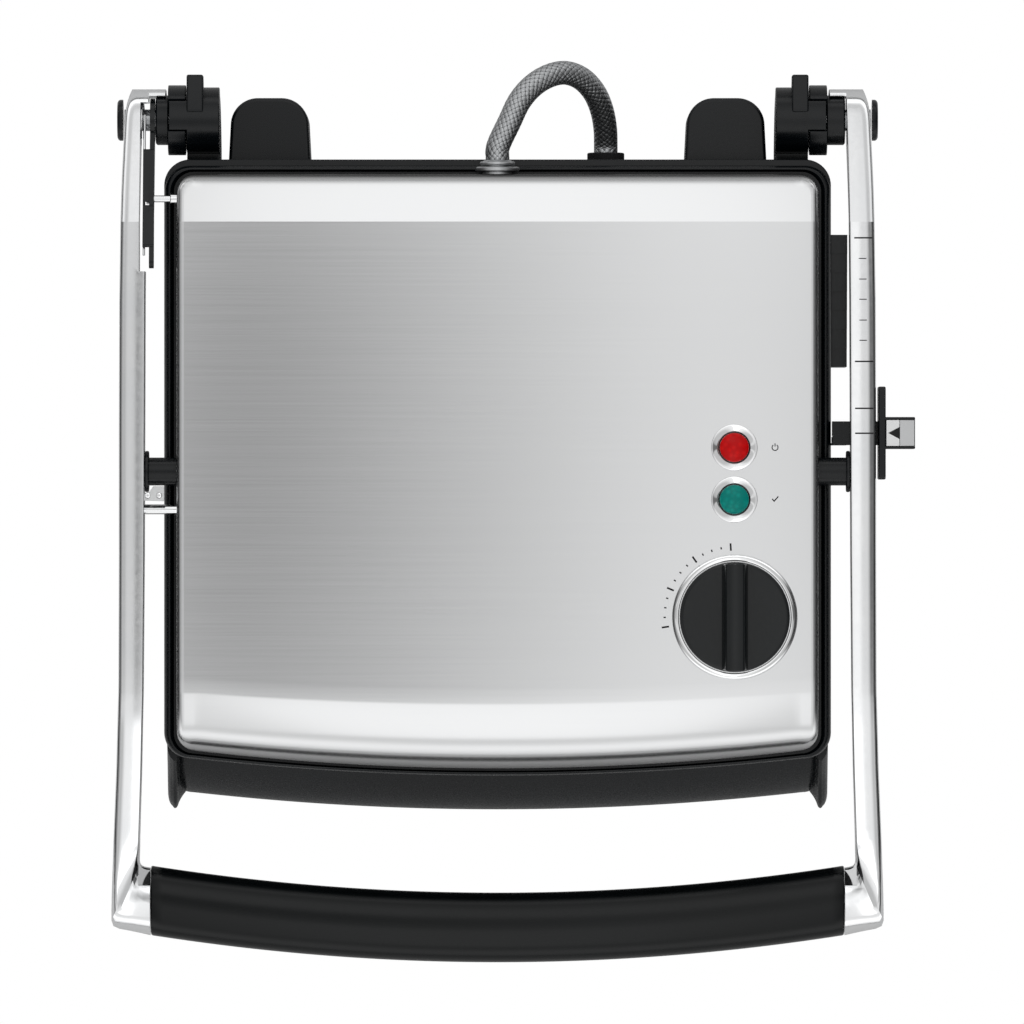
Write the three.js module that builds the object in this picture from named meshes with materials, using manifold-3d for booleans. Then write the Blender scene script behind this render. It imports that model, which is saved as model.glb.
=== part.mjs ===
// A contact grill: a base with a heated plate, and a lid with a heated plate that floats between two arms.
// Lengths are millimetres. X runs to the right, Y to the rear and Z up from the bench.
// While it is built, the hinge axis lies at Y = 0. The finished group is centred on its footprint.
// A "reach" is a distance ahead of the hinge axis, towards the handle.
import * as THREE from "three";
import { mergeVertices } from "three/addons/utils/BufferGeometryUtils.js";
import Module from "manifold-3d";

const wasm = await Module();
wasm.setup();

// Fits
const seatGap = 0.3;
const runningGap = 0.4;
const overrun = 5;
const weldDistance = 1e-4;

// Plan of the two housings
const housingHalfWidth = 154;
const housingRearReach = 18.4;
const housingFrontReach = 303;
const frontBow = 8;
const housingCorner = 12;
const curveSteps = 3;
const bowSteps = 8;

// Across the hinge: the arms stand off the housings, and the collars and barrels follow inwards
const armStand = 7;
const armThickness = 11.6;
const armInnerRear = housingHalfWidth + armStand;
const armOuterRear = armInnerRear + armThickness;
const collarStand = 3;
const collarLength = 6.4;
const toothLength = 7.9;
const barrelLength = 15.1;
const collarOuter = armInnerRear - collarStand;
const toothOuter = collarOuter - collarLength;
const barrelOuter = toothOuter - toothLength;
const barrelInner = barrelOuter - barrelLength;

// Base
const footHeight = 6;
const footRadius = 12;
const footHalfSpan = 122;
const footRearReach = 48;
const footFrontReach = 272;
const baseHeight = 56;
const baseInset = 1;
const baseWall = 3;
const baseDeck = 3;
const apronReach = 18;
const apronLipHeight = 8;
const apronChamfer = 3;
const apronCurveHeight = 18;
const apronCurveReach = 5;
const cheekWidth = 5.2;
const cheekReach = 16.4;
const cheekNose = 2.2;
const coverThickness = 2;

// Lower plate
const plateStand = 3.4;
const lowerPlateInset = 9;
const lowerPlateLedge = 4;
const lowerPlateDepth = 6;
const plateCorner = 7;
const gutterInset = 5;
const gutterWidth = 4;
const gutterDepth = 2;
const gutterSpout = 12;

// Closed plates and the hinge axis between them
const plateGap = 0.6;
const ribHeight = 3.6;
const ribWidth = 4.2;
const ribPitch = 8.6;
const upperPlateInset = 11.5;
const upperPlateThickness = 5;
const upperPlateMargin = 7;

// Lid rim
const rimRise = 2;
const rimHeight = 10;
const rimBead = 2.4;
const rimBeadWidth = 3.4;
const rimChamfer = 1.2;
const rimWeb = 3;
const rimWallInset = 10.6;
const rimOpeningInset = 17;

// Lid cover
const coverHalfWidth = 147.5;
const coverRearReach = 27;
const coverFrontReach = 297.8;
const coverCorner = 9;
const coverHeight = 30;
const coverWall = 1.2;
const coverFlatRearReach = 47.8;
const coverFlatFrontReach = 269;
const coverShoulderDrop = 5;
const coverShoulderRadius = 4;
const coverNoseDrop = 21;
const coverNoseTrim = 0.6;
const coverSideRadius = 3;

// Heaters and shields
const elementRadius = 3.2;
const elementInset = 34;
const elementCorner = 45;
const elementSteps = 36;
const elementSides = 6;
const shieldThickness = 1;
const shieldInset = 14.2;
const shieldRise = 9;
const lowerShieldDrop = 12;
const terminalWidth = 34;
const terminalDepth = 20;
const terminalHeight = 14;
const terminalReach = 44;
const terminalOffset = 104;

// Rear feet
const rearFootGap = 3.8;
const rearFootWidth = 38;
const rearFootOffset = barrelInner - rearFootGap - rearFootWidth / 2;
const rearFootLength = 30;
const rearFootHeight = 40;
const rearFootRaise = 8;
const rearFootCorner = 13;

// Drip tray, between the rear feet
const trayFootGap = 8.8;
const trayHalfWidth = rearFootOffset - rearFootWidth / 2 - trayFootGap;
const trayLength = 180;
const trayHeight = 24;
const trayWall = 2;
const trayHandleReach = 0.9;
const trayHandleHeight = 7;

// Fixed hinge barrels and collars
const barrelRadius = 15.2;
const toothStartAngle = 55.5;
const toothEndAngle = 108.5;
const toothGapAngle = 2;
const clawRadius = 16.2;
const collarRadius = 11.5;
const barrelSteps = 10;
const postDrop = 40;
const postFoot = 6;
const postHeel = 9;
const postHeelDrop = 14;
const finWidth = 7.7;
const finSetback = 0.1;
const finInner = barrelOuter - finSetback - finWidth;
const finFrontReach = -3.2;
const finRearReach = -20.7;
const finRise = 13.3;
const finHeight = 9;

// Arms
const armInnerFlare = 0.0103;
const armOuterFlare = 0.0125;
const armDrop = 4;
const armDepth = 20;
const armHubRadius = 14.3;
const armFlatFrontReach = 264;
const armNeckReach = 46;
const armFrontTopRise = 22;
const armFrontBottomRise = -4;
const armShoulderReach = 30;
const hubSteps = 8;
const lipLength = 7.8;
const lipInner = armInnerRear - lipLength;
const lipThickness = 2.3;
const lipStartAngle = -35;
const lipEndAngle = 62;
const hingePinRadius = 5;
const hingeCapRadius = 9.5;
const hingeCapThickness = 2.8;

// Handle
const gripEndInset = 1;
const gripHalfLength = armInnerRear - gripEndInset;
const gripWidth = 31;
const gripHeight = 24;
const gripStandoff = 57;
const gripReach = housingFrontReach + gripStandoff;
const gripBow = 12.5;
const gripRise = 8;
const gripSteps = 22;
const gripSides = 16;
const coreRadius = 5;
const coreSides = 8;
const coreSpigot = 8;
const castingWidth = 36.8;
const castingHeight = 28;
const castingStand = 5.6;
const castingOuter = armOuterRear + castingStand;
const castingSetback = 2;
const castingReach = gripReach - castingSetback;
const castingCorner = 7;
const pocketWidth = 5;
const pocketLength = 9;
const pocketSetback = 14;
const pocketReach = castingReach - pocketSetback;
const pocketDepth = 7;

// Lid pivots
const pivotReach = 162.6;
const pivotRise = 26;
const pivotPinRadius = 4;
const pivotPinPast = 5;
const pivotPinHold = 9;
const pivotPinInner = coverHalfWidth - pivotPinPast;
const pivotPinOuter = armInnerRear + pivotPinHold;
const pivotBushRadius = 6.45;
const pivotFlangeRadius = 9.5;
const pivotFlangeThickness = 1.8;
const bracketThickness = 2.4;
const bracketLength = 34;
const bracketHeight = 21;
const bracketFoot = 3.6;
const bracketCupWall = 1.6;

// Balance link, its pin and its spring, on the left
const linkEndReach = 66;
const linkEndRise = 24.5;
const linkEndRadius = 3;
const recessEndSetback = 4;
const recessEndLift = 3.5;
const recessEndReach = linkEndReach - recessEndSetback;
const recessEndRise = linkEndRise + recessEndLift;
const recessDepth = 2.8;
const recessRadius = 8.4;
const recessBendReach = 40;
const recessBendRise = 23.5;
const springPocketRadius = 12.2;
const springPocketDepth = 6.4;
const linkThickness = 2.2;
const linkHubRadius = 10;
const linkWidth = 9;
const guideReach = 36.8;
const guideRise = 18;
const guideRadius = 1.6;
const guideTravel = 3.2;
const guidePlay = 0.6;
const guideHeadRadius = 2.5;
const guideHeadThickness = 1;
const stopReach = 180;
const stopRise = 22;
const stopRadius = 2.3;
const springWire = 1.1;
const springRadius = 8.6;
const springPitch = 1.6;
const springTurns = 2.25;
const springLegSetback = 3;
const springLegLift = 0.5;
const springLegReach = linkEndReach - springLegSetback;
const springLegRise = linkEndRise + springLegLift;
const springSides = 5;
const springStepsPerTurn = 8;
const springLegSteps = 6;

// Height stop, on the right
const rackWidth = 8.5;
const rackRearReach = 53;
const rackFrontReach = 114;
const rackTopRise = 1.2;
const rackStepRise = 1.6;
const rackSteps = 7;
const rackHeight = 44;
const fingerGap = 0.6;
const fingerFlareStand = 0.2;
const fingerInner = housingHalfWidth + fingerGap;
const fingerOuter = armInnerRear + fingerFlareStand;
const fingerReach = 144.9;
const fingerLength = 11;
const fingerRise = 2;
const shankLength = 3.4;
const toeLength = 6.6;
const toeHeight = 3.5;
const bridgeThickness = 4.5;
const bridgeDrop = 0.5;
const sliderPlateStand = 2.7;
const sliderPlateInner = armOuterRear + sliderPlateStand;
const sliderPlateThickness = 3.3;
const sliderPlateLength = 42.8;
const sliderPlateHeight = 22;
const knobWidth = 13.5;
const knobLength = 14.7;
const knobHeight = 13;
const knobRise = 20;
const badgeInset = 2.2;
const badgeThickness = 1.2;
const keeperStand = 0.6;
const keeperReach = fingerReach - fingerLength / 2 + toeLength + keeperStand;
const keeperLength = fingerLength - toeLength - keeperStand;
const keeperLip = 2.4;
const keeperWall = 1;
const keeperHeight = 22;

// Controls on the lid
const dialX = 109;
const dialReach = 229.5;
const dialBezelRadius = 28.8;
const dialBezelWidth = 2.8;
const dialBezelHeight = 2;
const knobRadius = 25.3;
const dialSkirtHeight = 3.4;
const dialRidgeWidth = 12;
const dialRidgeTopWidth = 8.7;
const dialRidgeHeight = 13.5;
const dialGap = 0.8;
const shaftRadius = 3;
const shaftRise = 9;
const thermostatWidth = 34;
const thermostatLength = 28;
const thermostatHeight = 15;
const lampX = 108.8;
const lampReach = 151.6;
const lampPitch = 23.9;
const lampBezelRadius = 10.6;
const lampBezelHeight = 1.7;
const lensRadius = 7.3;
const lensRise = 1.6;
const lensDepth = 6;
const lampBodyRadius = 5.6;
const lampBodyLength = 12;
const lampSteps = 9;
const dialSteps = 16;

// Conduit between the base and the lid
const conduitRadius = 5.5;
const conduitSides = 10;
const conduitSteps = 18;
const conduitSpan = 50.2;
const conduitLoop = 39.38;
const glandRise = 25.2;
const glandFlangeRadius = 10.2;
const glandFlangeThickness = 1.9;
const glandStand = 2.6;
const glandNutRadius = 6.9;
const glandNutLength = 2.2;
const glandFerruleRadius = 8.2;
const glandFerruleLength = 1.6;
const bootRadius = 8.5;
const bootLength = 3.4;
const bootRise = -21;
const conduitSpanShares = [0, 0, 0.11, 0.206, 0.329, 0.475, 0.62, 0.766, 0.885, 0.962, 0.995, 1, 1];
const conduitLoopShares = [0, 0.1, 0.415, 0.665, 0.845, 0.96, 1, 0.94, 0.785, 0.56, 0.32, 0.12, 0];
const conduitDropShares = [0, 0, 0.02, 0.06, 0.12, 0.2, 0.3, 0.43, 0.58, 0.76, 0.91, 1, 1];

// Mains lead entry
const entryOffset = 50;
const entryRise = -21;
const entryRadius = 9;
const entryBore = 4;
const entryStand = 0.7;

// Heights that follow from the stack
const baseTop = footHeight + baseHeight;
const lowerPlateTop = baseTop + plateStand;
const hingeHeight = lowerPlateTop + plateGap / 2;
const upperPlateBottom = lowerPlateTop + plateGap;
const rimBottom = upperPlateBottom + rimRise;
const rimTop = rimBottom + rimHeight;
const coverTop = rimTop + coverHeight;
const armTop = coverTop - armDrop;
const armBottom = armTop - armDepth;
const bridgeTop = armBottom - bridgeDrop;
const pivotHeight = hingeHeight + pivotRise;
const gripCentreHeight = hingeHeight + gripRise;

// Places on the arms' faces
const armInnerAt = (reach) => armInnerRear + armInnerFlare * (reach + armHubRadius);
const armOuterAt = (reach) => armOuterRear + armOuterFlare * (reach + armHubRadius);

// Materials
function finish(color, metalness, roughness) {
  return new THREE.MeshStandardMaterial({ color, metalness, roughness });
}
const blackPlastic = finish(0x1c2023, 0, 0.45);
const glossBlack = finish(0x121517, 0, 0.25);
const brushedSteel = finish(0xc4c7c8, 1, 0.38);
const polishedAlloy = finish(0xdfe2e3, 1, 0.22);
const chrome = finish(0xe8eaeb, 1, 0.1);
const plainSteel = finish(0x9ea3a6, 1, 0.4);
const castPlate = finish(0x2a2b2c, 0.2, 0.6);
const rubber = finish(0x17191a, 0, 0.85);
const redLens = finish(0xe02422, 0, 0.15);
const greenLens = finish(0x1fae9f, 0, 0.15);
const ceramic = finish(0xe4ded2, 0, 0.7);
const braid = finish(0xa2a6a8, 0.9, 0.35);

// Solids from geometry, and geometry from solids
function solidOf(geometry) {
  const bare = geometry.index ? geometry.toNonIndexed() : geometry.clone();
  for (const key of Object.keys(bare.attributes)) {
    if (key !== "position") bare.deleteAttribute(key);
  }
  const merged = mergeVertices(bare, weldDistance);
  return new wasm.Manifold(
    new wasm.Mesh({
      numProp: 3,
      vertProperties: merged.attributes.position.array,
      triVerts: new Uint32Array(merged.index.array),
    }),
  );
}

function geometryOf(body) {
  const mesh = body.getMesh();
  const indexed = new THREE.BufferGeometry();
  indexed.setAttribute("position", new THREE.BufferAttribute(mesh.vertProperties, 3));
  indexed.setIndex(new THREE.BufferAttribute(mesh.triVerts, 1));
  const faceted = indexed.toNonIndexed();
  faceted.computeVertexNormals();
  return faceted;
}

const join = (first, ...rest) => rest.reduce((sum, next) => sum.add(next), first);
const cut = (first, ...rest) => rest.reduce((sum, next) => sum.subtract(next), first);

// The same body on the other side of the middle plane
function mirrored(body) {
  const geometry = geometryOf(body).scale(-1, 1, 1);
  const position = geometry.attributes.position;
  for (let i = 0; i < position.count; i += 3) {
    const second = new THREE.Vector3().fromBufferAttribute(position, i + 1);
    const third = new THREE.Vector3().fromBufferAttribute(position, i + 2);
    position.setXYZ(i + 1, third.x, third.y, third.z);
    position.setXYZ(i + 2, second.x, second.y, second.z);
  }
  return solidOf(geometry);
}

// Turns an outline into a prism. The outline's axes and the way it is drawn out are named by the function
const axisX = new THREE.Vector3(1, 0, 0);
const axisY = new THREE.Vector3(0, 1, 0);
const axisZ = new THREE.Vector3(0, 0, 1);

function drawnOut(outline, depth, steps = curveSteps) {
  return new THREE.ExtrudeGeometry(outline, { depth, bevelEnabled: false, curveSegments: steps });
}

function prismUp(outline, bottom, top, steps) {
  return solidOf(drawnOut(outline, top - bottom, steps).translate(0, 0, bottom));
}

function prismAcross(outline, from, to, steps) {
  const geometry = drawnOut(outline, to - from, steps);
  geometry.applyMatrix4(new THREE.Matrix4().makeBasis(axisY, axisZ, axisX));
  return solidOf(geometry.translate(from, 0, 0));
}

function prismBack(outline, front, rear, steps) {
  const geometry = drawnOut(outline, rear - front, steps);
  geometry.applyMatrix4(new THREE.Matrix4().makeBasis(axisX, axisZ, axisY.clone().negate()));
  return solidOf(geometry.translate(0, rear, 0));
}

function box(fromX, toX, fromY, toY, fromZ, toZ) {
  const geometry = new THREE.BoxGeometry(toX - fromX, toY - fromY, toZ - fromZ);
  return solidOf(geometry.translate((fromX + toX) / 2, (fromY + toY) / 2, (fromZ + toZ) / 2));
}

// Outlines
function polygon(points) {
  return new THREE.Shape(points.map(([a, b]) => new THREE.Vector2(a, b)));
}

function circle(a, b, radius) {
  const shape = new THREE.Shape();
  shape.absarc(a, b, radius, 0, 2 * Math.PI, false);
  return shape;
}

function annulus(a, b, inner, outer) {
  const shape = circle(a, b, outer);
  shape.holes.push(circle(a, b, inner));
  return shape;
}

function sector(a, b, inner, outer, startDegrees, endDegrees) {
  const start = THREE.MathUtils.degToRad(startDegrees);
  const end = THREE.MathUtils.degToRad(endDegrees);
  const shape = new THREE.Shape();
  shape.absarc(a, b, outer, start, end, false);
  shape.absarc(a, b, inner, end, start, true);
  shape.closePath();
  return shape;
}

function stadium(fromA, fromB, toA, toB, radius) {
  const along = Math.atan2(toB - fromB, toA - fromA);
  const quarter = Math.PI / 2;
  const shape = new THREE.Shape();
  shape.absarc(fromA, fromB, radius, along + quarter, along + 3 * quarter, false);
  shape.absarc(toA, toB, radius, along - quarter, along + quarter, false);
  shape.closePath();
  return shape;
}

function roundedRect(fromA, toA, fromB, toB, corner) {
  const quarter = Math.PI / 2;
  const shape = new THREE.Shape();
  shape.absarc(fromA + corner, fromB + corner, corner, 2 * quarter, 3 * quarter, false);
  shape.absarc(toA - corner, fromB + corner, corner, 3 * quarter, 4 * quarter, false);
  shape.absarc(toA - corner, toB - corner, corner, 0, quarter, false);
  shape.absarc(fromA + corner, toB - corner, corner, quarter, 2 * quarter, false);
  shape.closePath();
  return shape;
}

// The plan that the housings, plates and cover share, with a front edge that bows forwards
function panel(halfWidth, rearReach, frontReach, corner) {
  const rear = -rearReach;
  const front = -frontReach + frontBow;
  const quarter = Math.PI / 2;
  const shape = new THREE.Shape();
  shape.absarc(halfWidth - corner, rear - corner, corner, quarter, 0, true);
  shape.absarc(halfWidth - corner, front + corner, corner, 0, -quarter, true);
  for (let i = 1; i < bowSteps; i += 1) {
    const share = 1 - (2 * i) / bowSteps;
    shape.lineTo(share * (halfWidth - corner), -frontReach + frontBow * share * share);
  }
  shape.absarc(-halfWidth + corner, front + corner, corner, -quarter, -2 * quarter, true);
  shape.absarc(-halfWidth + corner, rear - corner, corner, 2 * quarter, quarter, true);
  shape.closePath();
  return shape;
}

function housingPanel(inset, corner = Math.max(housingCorner - inset, plateCorner)) {
  return panel(
    housingHalfWidth - inset,
    housingRearReach + inset,
    housingFrontReach - inset,
    corner,
  );
}

// A closed body through a stack of outlines that have the same number of points
function loft(layers) {
  const rings = layers.map(({ outline, height }) => {
    const points = outline.getPoints(curveSteps);
    if (points[0].distanceTo(points[points.length - 1]) < weldDistance) points.pop();
    if (THREE.ShapeUtils.isClockWise(points)) points.reverse();
    return points.map((point) => [point.x, point.y, height]);
  });
  const count = rings[0].length;
  const positions = rings.flat(2);
  const cap = THREE.ShapeUtils.triangulateShape(rings[0].map(([x, y]) => new THREE.Vector2(x, y)), []);
  const last = (rings.length - 1) * count;
  const faces = [];
  for (const [a, b, c] of cap) {
    faces.push(a, c, b, last + a, last + b, last + c);
  }
  for (let layer = 0; layer + 1 < rings.length; layer += 1) {
    for (let i = 0; i < count; i += 1) {
      const a = layer * count + i;
      const b = layer * count + ((i + 1) % count);
      faces.push(a, b, b + count, a, b + count, a + count);
    }
  }
  const geometry = new THREE.BufferGeometry();
  geometry.setAttribute("position", new THREE.Float32BufferAttribute(positions, 3));
  geometry.setIndex(faces);
  return solidOf(geometry);
}

// A tube of any section along a path, with flat ends
function sweep(path, section, steps) {
  return solidOf(new THREE.ExtrudeGeometry(section, { steps, extrudePath: path, curveSegments: 1 }));
}

function ovalSection(halfA, halfB, sides) {
  const points = [];
  for (let i = 0; i < sides; i += 1) {
    const turn = (2 * Math.PI * (i + 0.5)) / sides;
    points.push([halfA * Math.cos(turn), halfB * Math.sin(turn)]);
  }
  return polygon(points);
}

// Bodies of the mechanism, each a group in the finished part
const grill = new THREE.Group();
const bodies = {};
for (const name of ["base", "tray", "arms", "lid", "dial", "slider", "link"]) {
  bodies[name] = new THREE.Group();
  grill.add(bodies[name]);
}

function place(name, body, shape, material) {
  const mesh = new THREE.Mesh(shape.isBufferGeometry ? shape : geometryOf(shape), material);
  mesh.name = name;
  bodies[body].add(mesh);
  return mesh;
}

// Pieces that come in pairs are drawn on the right and mirrored to the left
function placePair(name, body, shape, material) {
  place(`${name}_right`, body, shape, material);
  place(`${name}_left`, body, shape, material).scale.x = -1;
}

function placeLeft(name, body, shape, material) {
  place(name, body, shape, material).scale.x = -1;
}

// Base housing: a shell with a flared apron in front, side cheeks, a deck and a slot for the tray
function baseLayers(wall) {
  const side = baseInset + wall;
  const lipTop = footHeight + apronLipHeight + apronChamfer;
  const steps = [
    [footHeight, apronReach - apronChamfer],
    [footHeight + apronChamfer, apronReach],
    [lipTop, apronReach],
    [lipTop + apronCurveHeight / 2, apronReach / 2 + apronChamfer / 2],
    [lipTop + apronCurveHeight, apronCurveReach],
    [baseTop, 0],
  ];
  return steps.map(([height, reach]) => ({
    outline: panel(
      housingHalfWidth - side,
      housingRearReach + side,
      housingFrontReach - side + reach,
      housingCorner,
    ),
    height,
  }));
}

function baseCavity() {
  const layers = baseLayers(baseWall);
  layers[0].height -= overrun;
  layers[layers.length - 1].height -= baseDeck;
  return loft(layers);
}

function cheek() {
  const outer = housingHalfWidth - baseInset;
  const tip = housingFrontReach + cheekReach;
  const nose = outer - cheekWidth / 2;
  const halfNose = cheekNose / 2;
  const plan = new THREE.Shape();
  plan.moveTo(outer - cheekWidth, -housingFrontReach + 2 * housingCorner);
  plan.lineTo(outer, -housingFrontReach + 2 * housingCorner);
  plan.quadraticCurveTo(outer, -tip + housingCorner, nose + halfNose, -tip + halfNose);
  plan.quadraticCurveTo(nose, -tip - halfNose, nose - halfNose, -tip + halfNose);
  plan.lineTo(outer - cheekWidth, -housingFrontReach);
  plan.closePath();
  const side = new THREE.Shape();
  side.moveTo(-housingFrontReach + 2 * housingCorner, footHeight);
  side.lineTo(-tip + apronChamfer, footHeight);
  side.lineTo(-tip, footHeight + apronChamfer);
  side.lineTo(-tip, footHeight + apronCurveHeight);
  side.quadraticCurveTo(
    -housingFrontReach,
    footHeight + 2 * apronCurveHeight,
    -housingFrontReach + housingCorner,
    baseTop,
  );
  side.lineTo(-housingFrontReach + 2 * housingCorner, baseTop);
  side.closePath();
  return prismUp(plan, footHeight, baseTop).intersect(prismAcross(side, outer - cheekWidth, outer));
}

const trayBottom = footHeight + coverThickness + seatGap;
const trayTop = trayBottom + trayHeight;
const traySlotHalf = trayHalfWidth + seatGap;
const baseRear = -housingRearReach - baseInset;
const lowerPlateOpening = lowerPlateInset + lowerPlateLedge;

const rightCheek = cheek();
place(
  "base_shell",
  "base",
  cut(
    join(loft(baseLayers(0)), rightCheek, mirrored(rightCheek)),
    baseCavity(),
    prismUp(housingPanel(lowerPlateOpening), baseTop - baseDeck - overrun, baseTop + overrun),
    box(
      -traySlotHalf,
      traySlotHalf,
      baseRear - baseWall - overrun,
      baseRear + overrun,
      trayBottom - seatGap,
      trayTop + seatGap,
    ),
    prismBack(
      circle(-entryOffset, hingeHeight + entryRise, entryRadius + seatGap),
      baseRear - baseWall - overrun,
      baseRear + overrun,
      hubSteps,
    ),
  ),
  blackPlastic,
);

const bottomInset = baseInset + baseWall + seatGap;
place(
  "bottom_cover",
  "base",
  prismUp(
    panel(
      housingHalfWidth - bottomInset,
      housingRearReach + bottomInset,
      housingFrontReach - bottomInset + apronReach - apronChamfer,
      housingCorner,
    ),
    footHeight,
    footHeight + coverThickness,
  ),
  plainSteel,
);

for (const [label, reach] of [["rear", footRearReach], ["front", footFrontReach]]) {
  const pad = prismUp(circle(footHalfSpan, -reach, footRadius), 0, footHeight, hubSteps);
  placePair(`${label}_pad`, "base", pad, rubber);
}

// Rear feet: the two tongues behind the base
const footOutline = roundedRect(
  rearFootOffset - rearFootWidth / 2,
  rearFootOffset + rearFootWidth / 2,
  baseRear + seatGap - rearFootCorner,
  baseRear + seatGap + rearFootLength,
  rearFootCorner,
);
place(
  "rear_foot_right",
  "base",
  cut(
    prismUp(footOutline, rearFootRaise, rearFootRaise + rearFootHeight),
    box(
      rearFootOffset - rearFootWidth,
      rearFootOffset + rearFootWidth,
      baseRear - rearFootCorner - overrun,
      baseRear + seatGap,
      rearFootRaise - overrun,
      rearFootRaise + rearFootHeight + overrun,
    ),
  ),
  blackPlastic,
);
const rightRearFoot = bodies.base.getObjectByName("rear_foot_right");
place("rear_foot_left", "base", rightRearFoot.geometry, blackPlastic).scale.x = -1;

// Hinge barrels on their posts, with the tooth and the fin that stops the open lid
const pinBore = hingePinRadius + runningGap;
const postFront = baseRear + seatGap;
const postOutline = polygon([
  [postFront, baseTop + rimRise - seatGap],
  [postFront, baseTop - postDrop],
  [postFront + postFoot, baseTop - postDrop],
  [postHeel, hingeHeight - postHeelDrop],
  [0, hingeHeight],
]);
const finOutline = polygon([
  [-finFrontReach, hingeHeight],
  [-finFrontReach, hingeHeight + finRise],
  [-finRearReach, hingeHeight + finRise],
  [-finRearReach, hingeHeight + finRise - finHeight],
  [barrelRadius, hingeHeight - finHeight / 2],
]);
placePair(
  "hinge_post",
  "base",
  cut(
    join(
      prismAcross(circle(0, hingeHeight, barrelRadius), barrelInner, barrelOuter, barrelSteps),
      prismAcross(postOutline, barrelInner, barrelOuter),
      prismAcross(finOutline, finInner, finInner + finWidth),
      prismAcross(
        sector(0, hingeHeight, hingePinRadius, barrelRadius, toothStartAngle, toothEndAngle),
        barrelOuter - overrun,
        toothOuter,
      ),
    ),
    prismAcross(
      circle(0, hingeHeight, pinBore),
      barrelInner + overrun,
      toothOuter + overrun,
      hubSteps,
    ),
  ),
  blackPlastic,
);
function hingeCollar(outer) {
  return join(
    prismAcross(annulus(0, hingeHeight, pinBore, collarRadius), toothOuter + runningGap, outer, hubSteps),
    prismAcross(
      sector(
        0,
        hingeHeight,
        pinBore + seatGap,
        clawRadius,
        toothEndAngle + toothGapAngle,
        toothStartAngle - toothGapAngle + 360,
      ),
      barrelOuter + runningGap,
      toothOuter + runningGap + seatGap,
      barrelSteps,
    ),
  );
}
place("hinge_collar_right", "base", hingeCollar(armInnerRear - runningGap), glossBlack);
placeLeft("hinge_collar_left", "base", hingeCollar(collarOuter), glossBlack);

// Lower plate: a cast slab that rests on the deck, with a gutter and a spout at the rear
const lowerPlateBottom = baseTop + seatGap;
const lowerBossInset = lowerPlateOpening + seatGap;
const gutterOuter = lowerPlateInset + gutterInset;
place(
  "lower_plate",
  "base",
  cut(
    join(
      prismUp(housingPanel(lowerPlateInset), lowerPlateBottom, lowerPlateTop),
      prismUp(housingPanel(lowerBossInset), lowerPlateTop - lowerPlateDepth, lowerPlateTop),
    ),
    cut(
      prismUp(housingPanel(gutterOuter), lowerPlateTop - gutterDepth, lowerPlateTop + overrun),
      prismUp(
        housingPanel(gutterOuter + gutterWidth),
        lowerPlateTop - gutterDepth - overrun,
        lowerPlateTop + 2 * overrun,
      ),
    ),
    box(
      -gutterSpout / 2,
      gutterSpout / 2,
      -housingRearReach - gutterOuter - gutterWidth,
      -housingRearReach,
      lowerPlateTop - gutterDepth,
      lowerPlateTop + overrun,
    ),
  ),
  castPlate,
);

// Heaters: one U-shaped tube against each plate, open to the rear
function element(height) {
  const rear = -housingRearReach - elementInset;
  const front = -housingFrontReach + elementInset;
  const side = housingHalfWidth - elementInset;
  const at = (x, y) => new THREE.Vector3(x, y, height);
  const path = new THREE.CurvePath();
  path.add(new THREE.LineCurve3(at(-side, rear), at(-side, front + elementCorner)));
  path.add(
    new THREE.QuadraticBezierCurve3(
      at(-side, front + elementCorner),
      at(-side, front),
      at(-side + elementCorner, front),
    ),
  );
  path.add(new THREE.LineCurve3(at(-side + elementCorner, front), at(side - elementCorner, front)));
  path.add(
    new THREE.QuadraticBezierCurve3(
      at(side - elementCorner, front),
      at(side, front),
      at(side, front + elementCorner),
    ),
  );
  path.add(new THREE.LineCurve3(at(side, front + elementCorner), at(side, rear)));
  return sweep(path, ovalSection(elementRadius, elementRadius, elementSides), elementSteps);
}

const lowerElementHeight = lowerPlateTop - lowerPlateDepth - seatGap - elementRadius;
place("lower_element", "base", element(lowerElementHeight), plainSteel);

// A shallow pan whose open side faces up or down, held by its edge
function shield(inset, corner, edge, floor) {
  const low = Math.min(edge, floor);
  const high = Math.max(edge, floor);
  const up = edge > floor ? 1 : -1;
  const hollowLow = up > 0 ? low + shieldThickness : low - overrun;
  const hollowHigh = up > 0 ? high + overrun : high - shieldThickness;
  return cut(
    prismUp(housingPanel(inset, corner), low, high),
    prismUp(housingPanel(inset + shieldThickness, corner), hollowLow, hollowHigh),
  );
}

const deckUnderside = baseTop - baseDeck - seatGap;
const lowerShieldInset = baseInset + baseWall + seatGap;
place(
  "lower_heat_shield",
  "base",
  shield(lowerShieldInset, housingCorner, deckUnderside, deckUnderside - lowerShieldDrop),
  plainSteel,
);

place(
  "terminal_block",
  "base",
  box(
    -terminalOffset - terminalWidth / 2,
    -terminalOffset + terminalWidth / 2,
    -terminalReach - terminalDepth,
    -terminalReach,
    footHeight + coverThickness,
    footHeight + coverThickness + terminalHeight,
  ),
  ceramic,
);

// Drip tray, drawn out to the rear
place(
  "drip_tray",
  "tray",
  join(
    cut(
      box(-trayHalfWidth, trayHalfWidth, baseRear - trayLength, baseRear, trayBottom, trayTop),
      box(
        -trayHalfWidth + trayWall,
        trayHalfWidth - trayWall,
        baseRear - trayLength + trayWall,
        baseRear - trayWall,
        trayBottom + trayWall,
        trayTop + overrun,
      ),
    ),
    prismAcross(
      polygon([
        [baseRear - trayWall / 2, trayBottom + trayHandleHeight],
        [baseRear - trayWall / 2, trayTop],
        [baseRear + trayHandleReach, trayTop],
        [baseRear + trayHandleReach, trayTop - trayHandleHeight / 2],
      ]),
      -trayHalfWidth / 2,
      trayHalfWidth / 2,
    ),
  ),
  blackPlastic,
);

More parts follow.
